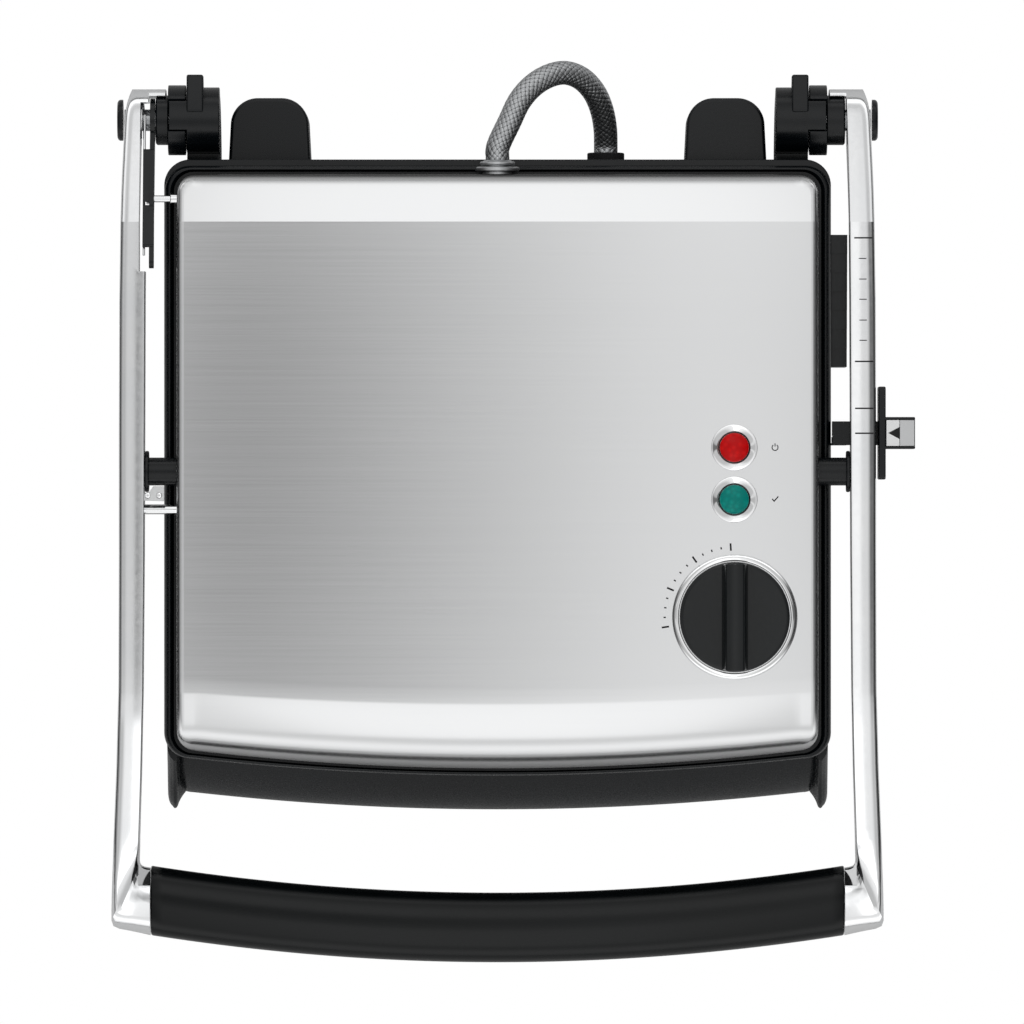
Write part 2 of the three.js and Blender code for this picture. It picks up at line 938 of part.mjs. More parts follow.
// Upper plate: a cast slab with ribs that meet the lower plate
function ribs() {
  const bodiesOfRibs = [];
  const halfSpan = housingHalfWidth - upperPlateInset - upperPlateMargin;
  const count = Math.floor(halfSpan / ribPitch);
  for (let i = -count; i <= count; i += 1) {
    bodiesOfRibs.push(
      box(
        i * ribPitch - ribWidth / 2,
        i * ribPitch + ribWidth / 2,
        -housingFrontReach + upperPlateInset + upperPlateMargin + frontBow,
        -housingRearReach - upperPlateInset - upperPlateMargin,
        upperPlateBottom,
        upperPlateBottom + ribHeight + upperPlateThickness / 2,
      ),
    );
  }
  return bodiesOfRibs;
}

const upperSlabBottom = upperPlateBottom + ribHeight;
const upperSlabTop = upperSlabBottom + upperPlateThickness;
const upperFrame = cut(
  prismUp(housingPanel(upperPlateInset), upperPlateBottom, upperSlabTop),
  prismUp(
    housingPanel(upperPlateInset + upperPlateMargin / 2),
    upperPlateBottom - overrun,
    upperSlabBottom,
  ),
);
place("upper_plate", "lid", join(upperFrame, ...ribs()), castPlate);

// Lid rim: an outer wall with a raised bead, a web that holds the plate and carries the cover
const webBottom = Math.max(rimTop - rimWeb, upperSlabTop + seatGap);
place(
  "lid_rim",
  "lid",
  cut(
    loft([
      { outline: housingPanel(rimChamfer, housingCorner), height: rimBottom },
      { outline: housingPanel(0, housingCorner), height: rimBottom + rimChamfer },
      { outline: housingPanel(0, housingCorner), height: rimTop },
      { outline: housingPanel(rimChamfer, housingCorner), height: rimTop + rimBead },
    ]),
    prismUp(housingPanel(rimChamfer + rimBeadWidth), rimTop, rimTop + rimBead + overrun),
    prismUp(housingPanel(rimWallInset), rimBottom - overrun, webBottom),
    prismUp(housingPanel(rimOpeningInset), rimBottom - overrun, rimTop + overrun),
  ),
  blackPlastic,
);

// Lid cover: a plan, a profile from rear to front and rounded sides, all set in by the wall for the hollow
function coverProfile(inset, bottom) {
  const rear = -coverRearReach - inset;
  const front = -coverFrontReach + inset - coverNoseTrim;
  const top = coverTop - inset;
  const shoulder = top - coverShoulderDrop;
  const shape = new THREE.Shape();
  shape.moveTo(rear, bottom);
  shape.lineTo(rear, shoulder - coverShoulderRadius);
  shape.quadraticCurveTo(rear, shoulder, rear - coverShoulderRadius, shoulder);
  shape.lineTo(-coverFlatRearReach, top);
  shape.lineTo(-coverFlatFrontReach, top);
  shape.quadraticCurveTo(front, top, front, top - coverNoseDrop);
  shape.lineTo(front, bottom);
  shape.closePath();
  return shape;
}

function coverSection(inset, bottom) {
  const side = coverHalfWidth - inset;
  const top = coverTop - inset;
  const shape = new THREE.Shape();
  shape.moveTo(-side, bottom);
  shape.lineTo(side, bottom);
  shape.lineTo(side, top - coverSideRadius);
  shape.quadraticCurveTo(side, top, side - coverSideRadius, top);
  shape.lineTo(-side + coverSideRadius, top);
  shape.quadraticCurveTo(-side, top, -side, top - coverSideRadius);
  shape.closePath();
  return shape;
}

// The outline is run out from -1 to 1 and then stretched to the cover's width and bent along its front
const unitRun = 2;
function coverBody(inset, bottom) {
  const side = coverHalfWidth - inset;
  const bowed = new THREE.ExtrudeGeometry(coverProfile(inset, bottom), {
    depth: unitRun,
    steps: bowSteps,
    bevelEnabled: false,
    curveSegments: curveSteps,
  });
  const position = bowed.attributes.position;
  for (let i = 0; i < position.count; i += 1) {
    const x = (position.getZ(i) - unitRun / 2) * (side + overrun);
    const isFront = position.getX(i) < -(coverFlatRearReach + coverFlatFrontReach) / 2;
    const bow = isFront ? frontBow * (x / (side - coverCorner + inset)) ** 2 : 0;
    position.setXYZ(i, x, position.getX(i) + bow, position.getY(i));
  }
  return solidOf(bowed)
    .intersect(
      prismUp(
        panel(side, coverRearReach + inset, coverFrontReach - inset, coverCorner - inset),
        bottom,
        coverTop + overrun,
        2 * curveSteps,
      ),
    )
    .intersect(prismBack(coverSection(inset, bottom), -coverFrontReach, -coverRearReach));
}

const coverBottom = rimTop + seatGap;
const stub = (x, reach, radius, steps) =>
  prismUp(circle(x, -reach, radius), coverTop - 2 * coverWall, coverTop + overrun, steps);
const glandHeight = hingeHeight + glandRise;
place(
  "lid_cover",
  "lid",
  cut(
    coverBody(0, coverBottom),
    coverBody(coverWall, coverBottom - overrun),
    stub(dialX, dialReach, shaftRadius + seatGap, 2 * curveSteps),
    stub(lampX, lampReach, lampBodyRadius + seatGap, lampSteps),
    stub(lampX, lampReach + lampPitch, lampBodyRadius + seatGap, lampSteps),
    prismAcross(
      circle(-pivotReach, pivotHeight, pivotPinRadius + seatGap),
      -coverHalfWidth - overrun,
      coverHalfWidth + overrun,
      hubSteps,
    ),
  ),
  brushedSteel,
);

// Upper heater and its shield, inside the cover
const upperElementHeight = upperSlabTop + seatGap + elementRadius;
const lidShieldBottom = rimTop + seatGap;
place("upper_element", "lid", element(upperElementHeight), plainSteel);
place(
  "upper_heat_shield",
  "lid",
  shield(shieldInset, plateCorner, lidShieldBottom, lidShieldBottom + shieldRise),
  plainSteel,
);

// Controls: thermostat, dial, two lamps
const thermostatTop = coverTop - coverWall - seatGap;
place(
  "thermostat",
  "lid",
  join(
    box(
      dialX - thermostatWidth / 2,
      dialX + thermostatWidth / 2,
      -dialReach - thermostatLength / 2,
      -dialReach + thermostatLength / 2,
      thermostatTop - thermostatHeight,
      thermostatTop,
    ),
    prismUp(
      circle(dialX, -dialReach, shaftRadius),
      thermostatTop - coverWall,
      coverTop + shaftRise,
      hubSteps,
    ),
  ),
  ceramic,
);
place(
  "dial_bezel",
  "lid",
  prismUp(
    annulus(dialX, -dialReach, dialBezelRadius - dialBezelWidth, dialBezelRadius),
    coverTop,
    coverTop + dialBezelHeight,
    dialSteps,
  ),
  chrome,
);
const knobBottom = coverTop + dialGap;
const knobTop = knobBottom + dialSkirtHeight + dialRidgeHeight;
const ridgeOutline = polygon([
  [dialX - dialRidgeWidth / 2, knobBottom],
  [dialX + dialRidgeWidth / 2, knobBottom],
  [dialX + dialRidgeWidth / 2, knobBottom + dialSkirtHeight],
  [dialX + dialRidgeTopWidth / 2, knobTop],
  [dialX - dialRidgeTopWidth / 2, knobTop],
  [dialX - dialRidgeWidth / 2, knobBottom + dialSkirtHeight],
]);
place(
  "dial_knob",
  "dial",
  cut(
    join(
      prismUp(circle(dialX, -dialReach, knobRadius), knobBottom, knobBottom + dialSkirtHeight, dialSteps),
      prismBack(ridgeOutline, -dialReach - knobRadius, -dialReach + knobRadius).intersect(
        prismUp(circle(dialX, -dialReach, knobRadius - seatGap), knobBottom, knobTop, dialSteps),
      ),
    ),
    prismUp(
      circle(dialX, -dialReach, shaftRadius + seatGap),
      knobBottom - overrun,
      coverTop + shaftRise + seatGap,
      hubSteps,
    ),
  ),
  glossBlack,
);

function lens(reach) {
  const profile = [
    [0, coverTop - lensDepth],
    [lampBodyRadius, coverTop - lensDepth],
    [lampBodyRadius, coverTop + seatGap],
    [lensRadius, coverTop + seatGap],
    [lensRadius, coverTop + lensRise],
    [lensRadius / 2, coverTop + 2 * lensRise],
    [0, coverTop + 2 * lensRise + seatGap],
  ];
  const points = profile.map(([radius, height]) => new THREE.Vector2(radius, height));
  const geometry = new THREE.LatheGeometry(points, 2 * lampSteps);
  geometry.rotateX(Math.PI / 2).translate(lampX, -reach, 0);
  return geometry;
}

const lamps = [
  ["power", lampReach, redLens],
  ["ready", lampReach + lampPitch, greenLens],
];
for (const [label, reach, material] of lamps) {
  place(`lamp_lens_${label}`, "lid", lens(reach), material);
  place(
    `lamp_bezel_${label}`,
    "lid",
    prismUp(
      annulus(lampX, -reach, lensRadius + seatGap, lampBezelRadius),
      coverTop,
      coverTop + lampBezelHeight,
      lampSteps,
    ),
    chrome,
  );
  place(
    `lamp_body_${label}`,
    "lid",
    prismUp(
      circle(lampX, -reach, lampBodyRadius),
      coverTop - lensDepth - seatGap - lampBodyLength,
      coverTop - lensDepth - seatGap,
    ),
    ceramic,
  );
}

// Arms: hub, neck, straight beam and a cast corner that takes the handle
function tangentAngle(reach, rise, side) {
  const direction = Math.atan2(rise, -reach);
  const spread = Math.acos(armHubRadius / Math.hypot(reach, rise));
  return direction + side * spread;
}

function armOutline() {
  const topRise = armTop - hingeHeight;
  const bottomRise = armBottom - hingeHeight;
  const shape = new THREE.Shape();
  shape.absarc(
    0,
    hingeHeight,
    armHubRadius,
    tangentAngle(armNeckReach, bottomRise, 1) - 2 * Math.PI,
    tangentAngle(coverFlatRearReach, topRise, -1),
    false,
  );
  shape.lineTo(-coverFlatRearReach, armTop);
  shape.lineTo(-armFlatFrontReach, armTop);
  shape.quadraticCurveTo(
    -armFlatFrontReach - armShoulderReach,
    armTop,
    -castingReach + castingWidth / 4,
    hingeHeight + armFrontTopRise,
  );
  shape.lineTo(-castingReach, hingeHeight + armFrontBottomRise);
  shape.lineTo(-castingReach + castingWidth / 4, hingeHeight + armFrontBottomRise);
  shape.quadraticCurveTo(
    -armFlatFrontReach - armShoulderReach,
    armBottom,
    -armFlatFrontReach,
    armBottom,
  );
  shape.lineTo(-armNeckReach, armBottom);
  shape.closePath();
  return shape;
}

// The prism between the arm's flared inner and outer faces
function flared(outline, innerOffset = 0, outerOffset = 0) {
  const geometry = new THREE.ExtrudeGeometry(outline, {
    depth: 1,
    bevelEnabled: false,
    curveSegments: hubSteps,
  });
  const position = geometry.attributes.position;
  for (let i = 0; i < position.count; i += 1) {
    const y = position.getX(i);
    const z = position.getY(i);
    const inner = armInnerAt(-y) + innerOffset;
    const outer = armOuterAt(-y) + outerOffset;
    position.setXYZ(i, inner + (outer - inner) * position.getZ(i), y, z);
  }
  return solidOf(geometry);
}

function gripPath(halfLength) {
  const share = halfLength / gripHalfLength;
  const end = -gripReach - gripBow + gripBow * share * share;
  return new THREE.QuadraticBezierCurve3(
    new THREE.Vector3(-halfLength, end, gripCentreHeight),
    new THREE.Vector3(0, -gripReach - gripBow - gripBow * share * share, gripCentreHeight),
    new THREE.Vector3(halfLength, end, gripCentreHeight),
  );
}

function gripRod(halfA, halfB, sides, halfLength) {
  const longer = halfLength + overrun;
  const reach = gripReach + 2 * gripWidth;
  return sweep(gripPath(longer), ovalSection(halfA, halfB, sides), gripSteps).intersect(
    box(-halfLength, halfLength, -reach, 0, 0, gripCentreHeight + gripWidth),
  );
}

function casting() {
  const outline = new THREE.Shape();
  outline.absellipse(
    -castingReach,
    gripCentreHeight,
    castingWidth / 2,
    castingHeight / 2,
    0,
    2 * Math.PI,
    false,
    0,
  );
  const inner = gripHalfLength + seatGap;
  const plan = roundedRect(
    inner - 2 * castingCorner,
    castingOuter,
    -castingReach - castingWidth / 2,
    -castingReach + castingWidth / 2 + castingCorner,
    castingCorner,
  );
  const pocketTop = gripCentreHeight + castingHeight / 2;
  return cut(
    prismAcross(outline, inner, castingOuter, hubSteps).intersect(
      prismUp(plan, gripCentreHeight - castingHeight, gripCentreHeight + castingHeight),
    ),
    box(
      inner - overrun,
      inner + pocketWidth,
      -pocketReach - pocketLength,
      -pocketReach,
      pocketTop - pocketDepth,
      pocketTop + overrun,
    ),
  );
}

function lip() {
  return prismAcross(
    sector(
      0,
      hingeHeight,
      armHubRadius - lipThickness,
      armHubRadius,
      lipStartAngle,
      lipEndAngle,
    ),
    lipInner,
    armInnerRear + overrun,
    hubSteps,
  );
}

const coreSocket = gripRod(
  coreRadius + seatGap,
  coreRadius + seatGap,
  coreSides,
  gripHalfLength + coreSpigot + seatGap,
);

function arm() {
  return cut(
    join(flared(armOutline()), casting(), lip()),
    coreSocket,
    prismAcross(
      circle(0, hingeHeight, hingePinRadius + seatGap),
      lipInner - overrun,
      castingOuter + overrun,
      hubSteps,
    ),
    prismAcross(
      circle(-pivotReach, pivotHeight, pivotPinRadius + seatGap),
      lipInner - overrun,
      pivotPinOuter + seatGap,
      hubSteps,
    ),
  );
}

const recess = join(
  flared(
    stadium(
      0,
      hingeHeight,
      -recessBendReach,
      hingeHeight + recessBendRise,
      recessRadius,
    ),
    -overrun,
    armInnerRear - armOuterRear + recessDepth,
  ),
  flared(
    stadium(
      -recessBendReach,
      hingeHeight + recessBendRise,
      -recessEndReach,
      hingeHeight + recessEndRise,
      recessRadius,
    ),
    -overrun,
    armInnerRear - armOuterRear + recessDepth,
  ),
  prismAcross(
    circle(0, hingeHeight, springPocketRadius),
    armInnerRear - overrun,
    armInnerRear + springPocketDepth,
    hubSteps,
  ),
);
place("arm_right", "arms", arm(), polishedAlloy);
placeLeft("arm_left", "arms", cut(arm(), recess), polishedAlloy);
place(
  "grip",
  "arms",
  cut(gripRod(gripHeight / 2, gripWidth / 2, gripSides, gripHalfLength), coreSocket),
  blackPlastic,
);
place(
  "grip_core",
  "arms",
  gripRod(coreRadius, coreRadius, coreSides, gripHalfLength + coreSpigot),
  plainSteel,
);
placePair(
  "hinge_pin",
  "arms",
  prismAcross(
    circle(0, hingeHeight, hingePinRadius),
    barrelInner + overrun + seatGap,
    armOuterRear,
    hubSteps,
  ),
  plainSteel,
);
const capInner = armOuterAt(hingeCapRadius) + seatGap;
placePair(
  "hinge_cap",
  "arms",
  prismAcross(circle(0, hingeHeight, hingeCapRadius), capInner, capInner + hingeCapThickness, hubSteps),
  glossBlack,
);

// Lid pivots: a pin in each arm, a flanged bush on the lid, and a bracket whose cup closes over the pin
placePair(
  "pivot_pin",
  "arms",
  prismAcross(circle(-pivotReach, pivotHeight, pivotPinRadius), pivotPinInner, pivotPinOuter, hubSteps),
  plainSteel,
);
const bushInner = coverHalfWidth + seatGap;
const bushOuter = armInnerAt(pivotReach - pivotFlangeRadius) - runningGap;
const bushBore = pivotPinRadius + runningGap;
placePair(
  "pivot_bush",
  "lid",
  join(
    prismAcross(
      annulus(-pivotReach, pivotHeight, bushBore, pivotBushRadius),
      bushInner,
      bushOuter,
      hubSteps,
    ),
    prismAcross(
      annulus(-pivotReach, pivotHeight, bushBore, pivotFlangeRadius),
      bushOuter - pivotFlangeThickness,
      bushOuter,
      hubSteps,
    ),
  ),
  glossBlack,
);
const bracketOuter = coverHalfWidth - coverWall - seatGap;
const bracketBottom = rimTop + seatGap;
const cupInner = pivotPinInner - runningGap;
placePair(
  "lid_bracket",
  "lid",
  cut(
    join(
      prismAcross(
        circle(-pivotReach, pivotHeight, bushBore + bracketCupWall),
        cupInner - bracketCupWall,
        bracketOuter,
        hubSteps,
      ),
      box(
        bracketOuter - bracketThickness,
        bracketOuter,
        -pivotReach - bracketLength / 2,
        -pivotReach + bracketLength / 2,
        bracketBottom,
        bracketBottom + bracketHeight,
      ),
      box(
        bracketOuter - bracketFoot,
        bracketOuter,
        -pivotReach - bracketLength / 2,
        -pivotReach + bracketLength / 2,
        bracketBottom,
        bracketBottom + bracketThickness,
      ),
    ),
    prismAcross(
      circle(-pivotReach, pivotHeight, bushBore),
      cupInner,
      bracketOuter + overrun,
      hubSteps,
    ),
  ),
  plainSteel,
);

// Balance link on the left hinge pin, with the slot for the guide pin
const linkInner = collarOuter + runningGap;
const linkOuter = linkInner + linkThickness;
const guideHeight = hingeHeight + guideRise;
const guideDistance = Math.hypot(guideReach, guideRise);
const slotStretch = (guideDistance + guideTravel) / guideDistance;
placeLeft(
  "balance_link",
  "link",
  cut(
    join(
      prismAcross(circle(0, hingeHeight, linkHubRadius), linkInner, linkOuter, hubSteps),
      prismAcross(
        stadium(
          0,
          hingeHeight,
          -guideReach * slotStretch,
          hingeHeight + guideRise * slotStretch,
          linkWidth / 2,
        ),
        linkInner,
        linkOuter,
      ),
      prismAcross(
        stadium(
          -guideReach * slotStretch,
          hingeHeight + guideRise * slotStretch,
          -linkEndReach,
          hingeHeight + linkEndRise,
          linkEndRadius,
        ),
        linkInner,
        linkOuter,
      ),
    ),
    prismAcross(circle(0, hingeHeight, pinBore), linkInner - overrun, linkOuter + overrun, hubSteps),
    prismAcross(
      stadium(
        -guideReach,
        guideHeight,
        -guideReach * slotStretch,
        hingeHeight + guideRise * slotStretch,
        guideRadius + guidePlay,
      ),
      linkInner - overrun,
      linkOuter + overrun,
    ),
  ),
  glossBlack,
);
const guideHeadInner = linkOuter + seatGap;
placeLeft(
  "guide_pin",
  "lid",
  join(
    prismAcross(
      circle(-guideReach, guideHeight, guideRadius),
      coverHalfWidth + seatGap,
      guideHeadInner + guideHeadThickness / 2,
      hubSteps,
    ),
    prismAcross(
      circle(-guideReach, guideHeight, guideHeadRadius),
      guideHeadInner,
      guideHeadInner + guideHeadThickness,
      hubSteps,
    ),
  ),
  chrome,
);
placeLeft(
  "stop_pin",
  "lid",
  prismAcross(
    circle(-stopReach, hingeHeight + stopRise, stopRadius),
    coverHalfWidth + seatGap,
    armInnerAt(stopReach - stopRadius) - runningGap,
    hubSteps,
  ),
  chrome,
);

// Torsion spring: a coil round the hinge pin and one leg along the link
class SpringLine extends THREE.Curve {
  getPoint(t) {
    const coilSteps = springTurns * springStepsPerTurn;
    const step = t * (coilSteps + springLegSteps);
    const coilOuter = armInnerRear + springPocketDepth - seatGap - springWire / 2;
    const legInner = coilOuter - springTurns * springPitch;
    const tip = Math.atan2(springLegRise, -springLegReach);
    const start = tip - Math.acos(springRadius / Math.hypot(springLegReach, springLegRise));
    if (step <= coilSteps) {
      const turn = start + (2 * Math.PI * (coilSteps - step)) / springStepsPerTurn;
      return new THREE.Vector3(
        coilOuter - (springPitch * step) / springStepsPerTurn,
        springRadius * Math.cos(turn),
        hingeHeight + springRadius * Math.sin(turn),
      );
    }
    const share = (step - coilSteps) / springLegSteps;
    const fromY = springRadius * Math.cos(start);
    const fromZ = springRadius * Math.sin(start);
    return new THREE.Vector3(
      legInner,
      fromY + share * (-springLegReach - fromY),
      hingeHeight + fromZ + share * (springLegRise - fromZ),
    );
  }
}

function springSolid() {
  const steps = Math.round(springTurns * springStepsPerTurn) + springLegSteps;
  const line = new SpringLine();
  const centres = [];
  for (let i = 0; i <= steps; i += 1) {
    centres.push(line.getPoint(i / steps));
  }
  let least = Infinity;
  centres.forEach((point, i) => {
    centres.slice(i + springStepsPerTurn / 2).forEach((other) => {
      least = Math.min(least, point.distanceTo(other) - springWire);
    });
  });
  console.log(`balance spring: least gap to itself ${least.toFixed(2)} mm`);
  const positions = [];
  const faces = [];
  centres.forEach((centre, i) => {
    const before = centres[Math.max(i - 1, 0)];
    const after = centres[Math.min(i + 1, steps)];
    const along = after.clone().sub(before).normalize();
    const across = axisX.clone().cross(along).normalize();
    const up = along.clone().cross(across);
    for (let k = 0; k < springSides; k += 1) {
      const turn = (2 * Math.PI * k) / springSides;
      const point = centre
        .clone()
        .addScaledVector(across, (springWire / 2) * Math.cos(turn))
        .addScaledVector(up, (springWire / 2) * Math.sin(turn));
      positions.push(point.x, point.y, point.z);
    }
  });
  for (let i = 0; i < steps; i += 1) {
    for (let k = 0; k < springSides; k += 1) {
      const a = i * springSides + k;
      const b = i * springSides + ((k + 1) % springSides);
      faces.push(a, b, b + springSides, a, b + springSides, a + springSides);
    }
  }
  const last = steps * springSides;
  for (let k = 1; k + 1 < springSides; k += 1) {
    faces.push(0, k + 1, k, last, last + k, last + k + 1);
  }
  const geometry = new THREE.BufferGeometry();
  geometry.setAttribute("position", new THREE.Float32BufferAttribute(positions, 3));
  geometry.setIndex(faces);
  return solidOf(geometry);
}
placeLeft("balance_spring", "link", springSolid(), chrome);

// Height rack on the base's right side, in rising steps
function rackOutline() {
  const top = hingeHeight + rackTopRise;
  const pitch = (rackFrontReach - rackRearReach) / rackSteps;
  const points = [
    [-rackFrontReach, top - rackHeight],
    [-rackRearReach, top - rackHeight],
  ];
  for (let i = 0; i < rackSteps; i += 1) {
    const stepTop = top - i * rackStepRise;
    points.push([-rackRearReach - i * pitch, stepTop], [-rackRearReach - (i + 1) * pitch, stepTop]);
  }
  return polygon(points);
}
const rackInner = housingHalfWidth - baseInset + seatGap;
place(
  "height_rack",
  "base",
  prismAcross(rackOutline(), rackInner, rackInner + rackWidth),
  blackPlastic,
);

// Slider on the right arm: finger inside, bridge under the arm, plate and knob outside
const fingerBottom = hingeHeight + fingerRise;
const toeTop = fingerBottom + toeHeight;
const fingerFront = -fingerReach - fingerLength / 2;
const fingerRear = -fingerReach + fingerLength / 2;
const keeperLipBottom = toeTop + seatGap;
const keeperLipTop = keeperLipBottom + keeperLip;
const sliderPlateOuter = sliderPlateInner + sliderPlateThickness;
const plateBottom = bridgeTop - bridgeThickness;
const knobBase = plateBottom + bridgeThickness / 2;
const knobOuter = sliderPlateOuter + knobWidth;
const knobFace = knobBase + knobRise;
place(
  "slider_body",
  "slider",
  cut(
    join(
      box(fingerInner, fingerOuter, fingerFront, fingerRear, keeperLipTop + seatGap, bridgeTop),
      box(fingerInner, fingerOuter, fingerRear - shankLength, fingerRear, fingerBottom, bridgeTop),
      box(fingerInner, fingerOuter, fingerRear - toeLength, fingerRear, fingerBottom, toeTop),
      box(fingerInner, sliderPlateOuter, fingerFront, fingerRear, plateBottom, bridgeTop),
      box(
        sliderPlateInner,
        sliderPlateOuter,
        -fingerReach - sliderPlateLength / 2,
        -fingerReach + sliderPlateLength / 2,
        plateBottom,
        plateBottom + sliderPlateHeight,
      ),
      box(
        sliderPlateInner,
        knobOuter,
        -fingerReach - knobLength / 2,
        -fingerReach + knobLength / 2,
        knobFace - knobHeight,
        knobFace,
      ),
    ),
    box(
      sliderPlateOuter,
      knobOuter + overrun,
      -fingerReach - knobLength / 2 + badgeInset,
      -fingerReach + knobLength / 2 - badgeInset,
      knobFace - badgeThickness,
      knobFace + overrun,
    ),
  ),
  blackPlastic,
);
place(
  "slider_badge",
  "slider",
  box(
    sliderPlateOuter + seatGap,
    knobOuter,
    -fingerReach - knobLength / 2 + badgeInset + seatGap,
    -fingerReach + knobLength / 2 - badgeInset - seatGap,
    knobFace - badgeThickness,
    knobFace,
  ),
  chrome,
);

// Keeper on the base: the slider's toe goes under its lip to lock the grill shut
const keeperInner = housingHalfWidth + seatGap;
const keeperOutline = polygon([
  [-keeperReach, keeperLipTop],
  [-keeperReach - keeperLength, keeperLipTop],
  [-keeperReach - keeperLength, keeperLipTop - keeperHeight],
  [-keeperReach - keeperLength + keeperWall, keeperLipTop - keeperHeight],
  [-keeperReach - keeperLength + keeperWall, keeperLipBottom],
  [-keeperReach, keeperLipBottom],
]);
place(
  "lock_keeper",
  "base",
  join(
    prismAcross(keeperOutline, keeperInner, fingerOuter),
    box(
      rackInner,
      keeperInner + overrun / 2,
      -keeperReach - keeperLength,
      -keeperReach - keeperLength + keeperWall,
      keeperLipTop - keeperHeight,
      baseTop,
    ),
  ),
  plainSteel,
);

// Conduit that carries the lid's wires, with its gland on the lid and its boot on the base
function lathedBack(profile, x, height, steps) {
  const points = profile.map(([radius, y]) => new THREE.Vector2(radius, y));
  const geometry = new THREE.LatheGeometry(points, 2 * steps);
  return solidOf(geometry.translate(x, 0, height));
}

const glandRear = -coverRearReach + seatGap + glandStand + glandFlangeThickness;
const ferruleRear = glandRear + seatGap + glandNutLength + glandFerruleLength;
place(
  "gland_flange",
  "lid",
  lathedBack(
    [
      [0, -coverRearReach + seatGap],
      [glandNutRadius, -coverRearReach + seatGap],
      [glandNutRadius, -coverRearReach + seatGap + glandStand],
      [glandFlangeRadius, -coverRearReach + seatGap + glandStand],
      [glandFlangeRadius, glandRear],
      [0, glandRear],
    ],
    0,
    glandHeight,
    hubSteps,
  ),
  chrome,
);
place(
  "gland_nut",
  "lid",
  lathedBack(
    [
      [0, glandRear + seatGap],
      [glandNutRadius, glandRear + seatGap],
      [glandNutRadius, glandRear + seatGap + glandNutLength],
      [glandFerruleRadius, glandRear + seatGap + glandNutLength],
      [conduitRadius + glandFerruleLength, ferruleRear],
      [0, ferruleRear],
    ],
    0,
    glandHeight,
    hubSteps,
  ),
  chrome,
);
const bootHeight = hingeHeight + bootRise;
const bootRear = baseRear + seatGap + bootLength;
place(
  "conduit_boot",
  "base",
  lathedBack(
    [
      [0, baseRear + seatGap],
      [bootRadius, baseRear + seatGap],
      [bootRadius - bootLength / 4, bootRear],
      [0, bootRear],
    ],
    conduitSpan,
    bootHeight,
    hubSteps,
  ),
  rubber,
);

function conduitLine() {
  const startY = ferruleRear + seatGap;
  const endY = bootRear + seatGap;
  const points = conduitSpanShares.map((spanShare, i) => {
    const middle = startY + (endY - startY) * conduitDropShares[i];
    return new THREE.Vector3(
      spanShare * conduitSpan,
      middle + conduitLoopShares[i] * (conduitLoop - middle + startY),
      glandHeight + (bootHeight - glandHeight) * conduitDropShares[i],
    );
  });
  return new THREE.CatmullRomCurve3(points, false, "centripetal");
}
place(
  "conduit",
  "base",
  sweep(conduitLine(), ovalSection(conduitRadius, conduitRadius, conduitSides), conduitSteps),
  braid,
);

// Entry for the mains lead: a bush in the rear wall, almost flush with it
place(
  "mains_entry",
  "base",
  cut(
    prismBack(
      circle(-entryOffset, hingeHeight + entryRise, entryRadius),
      baseRear - baseWall,
      baseRear + entryStand,
      hubSteps,
    ),
    prismBack(
      circle(-entryOffset, hingeHeight + entryRise, entryBore),
      baseRear - baseWall - overrun,
      baseRear + entryStand + overrun,
      hubSteps,
    ),
  ),
  rubber,
);

// The finished frame: the middle of the footprint is the origin
grill.updateMatrixWorld(true);
const bounds = new THREE.Box3().setFromObject(grill);
const middle = bounds.getCenter(new THREE.Vector3());
const part = new THREE.Group();
grill.position.set(-middle.x, -middle.y, -bounds.min.z);
part.add(grill);

export default part;
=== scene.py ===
"""Looks of the contact grill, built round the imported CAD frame, in millimetres until point() makes metres."""

import math

import bmesh
import bpy
import numpy as np
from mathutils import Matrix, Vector


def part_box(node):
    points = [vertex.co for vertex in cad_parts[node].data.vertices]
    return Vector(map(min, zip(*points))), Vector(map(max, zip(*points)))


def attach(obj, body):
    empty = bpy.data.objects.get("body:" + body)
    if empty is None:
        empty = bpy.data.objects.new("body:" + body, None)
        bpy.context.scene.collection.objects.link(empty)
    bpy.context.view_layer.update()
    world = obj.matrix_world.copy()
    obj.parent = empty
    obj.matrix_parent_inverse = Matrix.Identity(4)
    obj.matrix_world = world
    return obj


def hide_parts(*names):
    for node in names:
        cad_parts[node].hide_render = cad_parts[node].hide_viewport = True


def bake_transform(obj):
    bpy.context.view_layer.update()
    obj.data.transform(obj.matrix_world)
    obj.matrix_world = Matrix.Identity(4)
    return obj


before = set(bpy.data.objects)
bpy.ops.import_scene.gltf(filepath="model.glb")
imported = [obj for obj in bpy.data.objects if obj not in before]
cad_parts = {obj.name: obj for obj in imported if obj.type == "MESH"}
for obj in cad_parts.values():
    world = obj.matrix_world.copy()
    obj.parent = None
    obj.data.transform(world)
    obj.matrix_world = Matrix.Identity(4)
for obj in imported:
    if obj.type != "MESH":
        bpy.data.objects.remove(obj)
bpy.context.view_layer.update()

MM = 0.001

# Camera and picture, in the photograph's pixels
PICTURE_SIDE = 1024
PIXEL = 0.46
CAMERA_HEIGHT = 6.0
SENSOR = 36.0
CAMERA_X = -0.28
CAMERA_Y = -0.88
FOCUS_HEIGHT = 0.1
CLIP_START = 0.1
CLIP_END = 40.0

# Plan of the housings
HALF_WIDTH = 154.0
REAR_REACH = 18.4
FRONT_REACH = 303.0
FRONT_BOW = 8.0
CORNER = 12.0
RING_CORNER_STEPS = 14
RING_BOW_STEPS = 48

# Heights
FOOT_HEIGHT = 6.0
BASE_TOP = 62.0
HINGE_HEIGHT = 65.7
RIM_BOTTOM = 68.0
RIM_TOP = 78.0
COVER_BOTTOM = 78.3
COVER_TOP = 108.0
ARM_TOP = 104.0
ARM_BOTTOM = 84.0
PIVOT_HEIGHT = 91.7
GRIP_HEIGHT = 73.7

